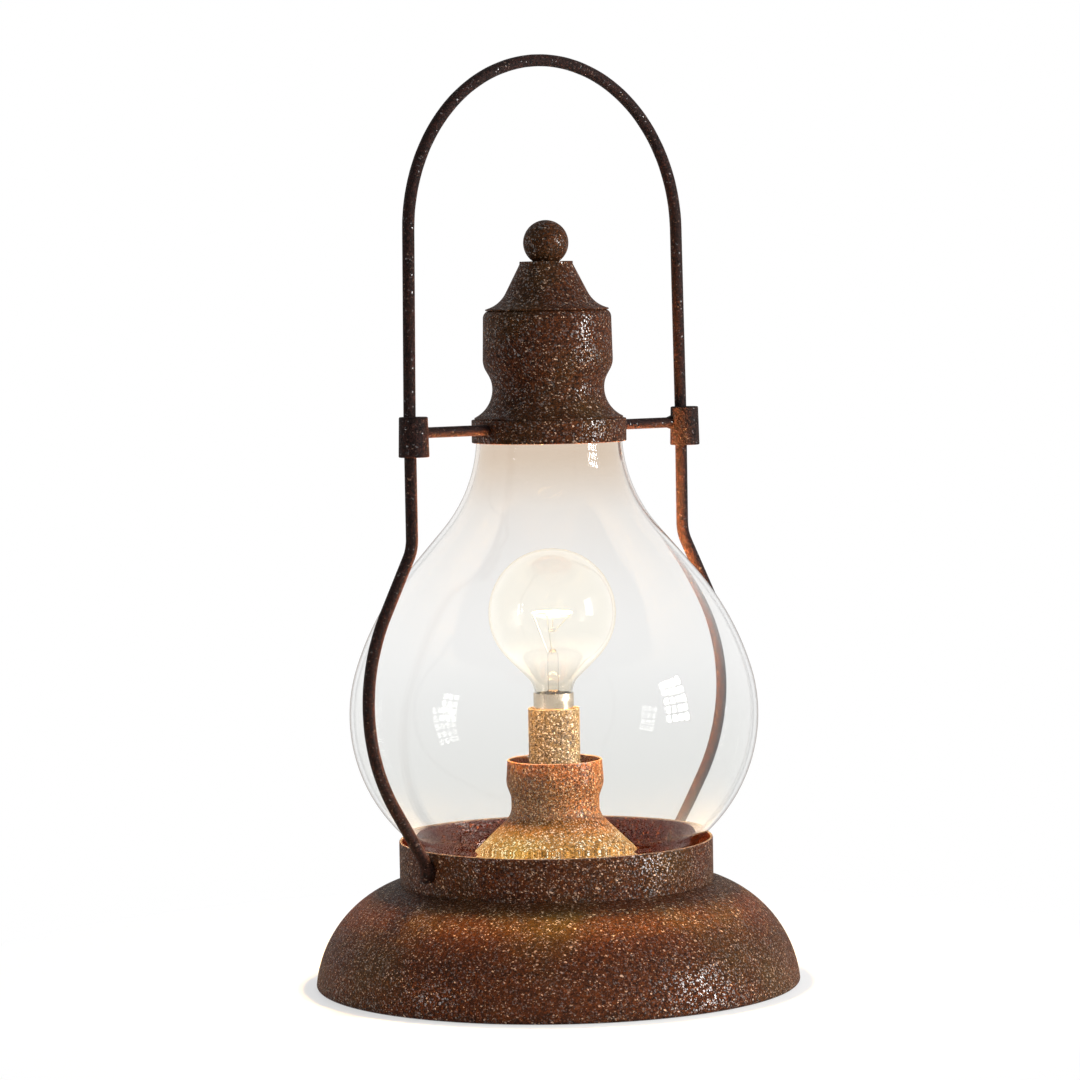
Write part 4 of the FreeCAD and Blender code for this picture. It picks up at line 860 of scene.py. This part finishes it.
def guard_half(post_r, level, bend_r, run):
    """Slope off the vertical, and radius, of the bow between its widest place and an upright stretch."""
    aside = GUARD_WIDEST_R - post_r
    along = abs(level - GUARD_WIDEST_Z)
    radii = (aside ** 2 + along ** 2 - run ** 2) / (2 * aside)
    slope = math.degrees(math.atan2(along, radii - aside) - math.atan2(run, radii))
    return slope, radii - bend_r


def guard_path():
    top, top_bow = guard_half(POST_R, GUARD_TOP_Z, GUARD_TOP_BEND_R, GUARD_TOP_RUN)
    foot, foot_bow = guard_half(COLLAR_R + WIRE_R, GUARD_FOOT_Z, GUARD_FOOT_BEND_R, GUARD_FOOT_RUN)
    start_z = (FERRULE_LOW + FERRULE_TOP - WIRE_END_GAP) / 2
    moves = [(start_z - GUARD_TOP_Z,), (GUARD_TOP_BEND_R, top), (GUARD_TOP_RUN,), (top_bow, -top),
             (foot_bow, -foot), (GUARD_FOOT_RUN,), (GUARD_FOOT_BEND_R, foot), (GUARD_FOOT_Z - GUARD_END_Z,)]
    return walk((POST_R, start_z), -90.0, moves)[0]


def weld(name, centre, reach, height):
    """A small lump of weld metal, an egg standing at a place in the XZ plane."""
    egg = [Vector((reach * cos(a), height * sin(a))) for a in range(-90, 91, 10)]
    egg[0].x = egg[-1].x = 0.0
    place = Matrix.Translation((centre[0] * MM, 0, centre[1] * MM))
    dress(spun(name, egg, WIRE_PAINT, WELD_STEPS, place), FRAME_BODY, "rust_paint")


def build_wires():
    bail = wire("bail", upright(bail_path()), WIRE_R, WIRE_PAINT, WIRE_UNEVENNESS)
    dress(bail, FRAME_BODY, "rust_paint", "bail_handle")
    for side, word in ((1, "right"), (-1, "left")):
        guard = wire("guard_" + word, upright(guard_path(), side), WIRE_R, WIRE_PAINT, WIRE_UNEVENNESS)
        dress(guard, FRAME_BODY, "rust_paint", "guard_wire_" + word)
        weld("foot_weld_" + word, (side * (COLLAR_R + WELD_OUT), GUARD_END_Z + WELD_H), WELD_R, WELD_H)
        corners = [(0, FERRULE_LOW), (FERRULE_FOOT_R, FERRULE_LOW), (FERRULE_TOP_R, FERRULE_TOP),
                   (0, FERRULE_TOP)]
        place = Matrix.Translation((side * POST_R * MM, -FERRULE_SHIFT * MM, 0))
        ferrule = spun("ferrule_block_" + word, soften(corners, FERRULE_EDGE), WIRE_PAINT, FERRULE_STEPS,
                       place)
        dress(ferrule, FRAME_BODY, "rust_paint", "ferrule_" + word)
        rod = [(0, 0), (ARM_R, 0), (ARM_R, ARM_FLARE_START), (ARM_FLARE_R, ARM_FLARE_END),
               (ARM_FLARE_R, ARM_LEN), (0, ARM_LEN)]
        outward = Matrix.Rotation(math.radians(side * 90), 4, "Y")
        along = Matrix.Translation((side * RING_R * MM, 0, ARM_Z * MM)) @ outward
        arm = spun("arm_rod_" + word, soften(rod, ARM_EDGE), WIRE_PAINT, ARM_STEPS, along)
        dress(arm, FRAME_BODY, "rust_paint", "arm_" + word)


# ---- CAD nodes that keep their shape ----

def paint_nodes():
    finishes = {
        "bottom_cover": COVER_PAINT, "cover_screws": ZINC, "felt_feet": FELT, "cord_gland": RUBBER,
        "glass_gasket": RUBBER, "nipple_tube": ZINC, "nipple_nuts": ZINC, "nipple_washer": ZINC,
        "holder_body": PLASTIC, "holder_screw_shell": BRASS, "holder_contact": BRASS, "bulb_cap": CAP_METAL,
        "bulb_insulator": INSULATION, "bulb_tip": SOLDER, "bulb_stem": STEM_GLASS, "bulb_leads": LEADS,
        "bulb_filament": FILAMENT, "finial_stud": ZINC, "finial_nut": ZINC}
    for node, finish in finishes.items():
        piece = frame["nodes"][node]
        piece.data.materials.clear()
        piece.data.materials.append(finish)


# ---- Camera, floor and light ----

CAMERA_TURN = 38.5         # degrees from the view along +Y round to the photograph's
CAMERA_DISTANCE = 2490.0
CAMERA_HEIGHT = 427.7
CAMERA_PITCH = 3.434
CAMERA_YAW = 0.156         # turns the lamp's axis a little right of the middle
CAMERA_ROLL = 1.0
CAMERA_REACH = 50.0        # metres
FOCAL_PIXELS = 4000.0
FRAME_PIXELS = 1080.0

# From here on lengths are in metres. Each window: degrees to the right of the camera, height, distance,
# a pane's width and height, columns and rows of panes, power.
WINDOWS = {"window_right": (71, 0.55, 2.0, (0.09, 0.13), (4, 5), 72.0),
           "window_left": (-60, 0.6, 2.4, (0.1, 0.14), (3, 4), 10.0)}
PANE_GAP, WINDOW_COLOUR, LIGHTS_AIM = 0.05, (1.0, 0.99, 0.98), 0.3
BULB_POWER, BULB_COLOUR, BULB_LIGHT_R = 30.0, (1.0, 0.62, 0.27), 0.033
SKY_COLOUR, SKY_STRENGTH = (0.95, 0.97, 1.0, 1), 0.38
FLOOR_HALF, FLOOR_COLOUR, FLOOR_ROUGHNESS = 12.0, (0.86, 0.86, 0.85, 1), 0.6
FLOOR_SCALE, FLOOR_RELIEF = 40.0, 0.0001
FLOOR_FADE, FLOOR_WHITE = (0.12, 0.42), (0.55, 1.0)


def place_camera():
    camera = bpy.data.cameras.new("camera")
    camera.lens = camera.sensor_width * FOCAL_PIXELS / FRAME_PIXELS
    camera.clip_end = CAMERA_REACH
    holder = in_scene("camera", camera)
    turn = Matrix.Rotation(math.radians(CAMERA_YAW - CAMERA_TURN), 4, "Z")
    tilt = Matrix.Rotation(math.radians(90 - CAMERA_PITCH), 4, "X")
    roll = Matrix.Rotation(math.radians(-CAMERA_ROLL), 4, "Z")
    spot = Vector((-CAMERA_DISTANCE * sin(CAMERA_TURN), -CAMERA_DISTANCE * cos(CAMERA_TURN),
                   CAMERA_HEIGHT)) * MM
    holder.matrix_world = Matrix.Translation(spot) @ turn @ tilt @ roll
    bpy.context.scene.camera = holder


def area_light(name, azimuth, height, distance, size, power):
    """A pane of light that faces the lamp from its place round it."""
    light = bpy.data.lights.new(name, "AREA")
    light.shape = "RECTANGLE"
    light.size, light.size_y = size
    light.energy = power
    light.color = WINDOW_COLOUR
    holder = in_scene(name, light)
    angle = CAMERA_TURN - azimuth
    holder.location = (-sin(angle) * distance, -cos(angle) * distance, height)
    holder.rotation_mode = "QUATERNION"
    holder.rotation_quaternion = (holder.location - Vector((0, 0, LIGHTS_AIM))).to_track_quat("Z", "Y")
    holder.visible_camera = False


def window(name, azimuth, height, distance, pane, grid, power):
    """A window of small panes, some of them brighter."""
    columns, rows = grid
    for column in range(columns):
        for row in range(rows):
            aside = (column - (columns - 1) / 2) * (pane[0] + PANE_GAP)
            lift = (row - (rows - 1) / 2) * (pane[1] + PANE_GAP)
            share = (0.5 + (3 * column + 2 * row) % 5 / 4) / (columns * rows)
            area_light(f"{name}_{column}_{row}", azimuth + math.degrees(aside / distance), height + lift,
                       distance, pane, power * share)


def bulb_light():
    light = bpy.data.lights.new("bulb_light", "POINT")
    light.energy = BULB_POWER
    light.color = BULB_COLOUR
    light.shadow_soft_size = BULB_LIGHT_R
    holder = in_scene("bulb_light", light)
    holder.location = (0, 0, FILAMENT_Z * MM)
    holder.visible_camera = holder.visible_transmission = holder.visible_glossy = False
    holder.parent = frame["bodies"][BULB_BODY]


def seen_ray(tree):
    """1 for what the camera sees, straight, mirrored or through glass, and 0 for what lights a surface."""
    path = add(tree, "ShaderNodeLightPath").outputs
    seen = calc(tree, "ADD", path["Is Camera Ray"], path["Is Glossy Ray"])
    return calc(tree, "ADD", seen, path["Is Transmission Ray"], clamp=True)


def build_world():
    world = bpy.data.worlds.new("studio")
    bpy.context.scene.world = world
    world.use_nodes = True
    tree = world.node_tree
    tree.nodes.clear()
    white = add(tree, "ShaderNodeBackground", {"Color": (1, 1, 1, 1), "Strength": 1.0})
    soft = add(tree, "ShaderNodeBackground", {"Color": SKY_COLOUR, "Strength": SKY_STRENGTH})
    mix = add(tree, "ShaderNodeMixShader", {0: seen_ray(tree), 1: soft.outputs[0], 2: white.outputs[0]})
    add(tree, "ShaderNodeOutputWorld", {"Surface": mix.outputs[0]})


def build_floor():
    """A pale floor that keeps the lamp's shadow and fades into the white backdrop."""
    finish, tree, place, shader, output = new_material("floor")
    fill_in(shader, Base_Color=FLOOR_COLOUR, Roughness=FLOOR_ROUGHNESS)
    relief(tree, shader, noise(tree, place, FLOOR_SCALE, 4.0), FLOOR_RELIEF)
    fade = remap(tree, vector(tree, "LENGTH", place), FLOOR_FADE, FLOOR_WHITE, kind="SMOOTHSTEP")
    share = calc(tree, "MULTIPLY", fade, seen_ray(tree))
    white = add(tree, "ShaderNodeEmission", {"Color": (1, 1, 1, 1), "Strength": 1.0})
    mix = add(tree, "ShaderNodeMixShader", {0: share, 1: shader.outputs[0], 2: white.outputs[0]})
    tree.links.new(mix.outputs[0], output.inputs["Surface"])
    half = FLOOR_HALF
    mesh = bpy.data.meshes.new("floor")
    mesh.from_pydata([(-half, -half, 0), (half, -half, 0), (half, half, 0), (-half, half, 0)], [],
                     [(0, 1, 2, 3)])
    mesh.materials.append(finish)
    in_scene("floor", mesh)


place_camera()
build_world()
build_floor()
for window_name, facts in WINDOWS.items():
    window(window_name, *facts)
bulb_light()

build_base()
build_pedestal()
build_globe()
build_bulb()
build_ring()
build_chimney_cap()
build_wires()
paint_nodes()

bpy.context.scene.view_settings.view_transform = "Standard"
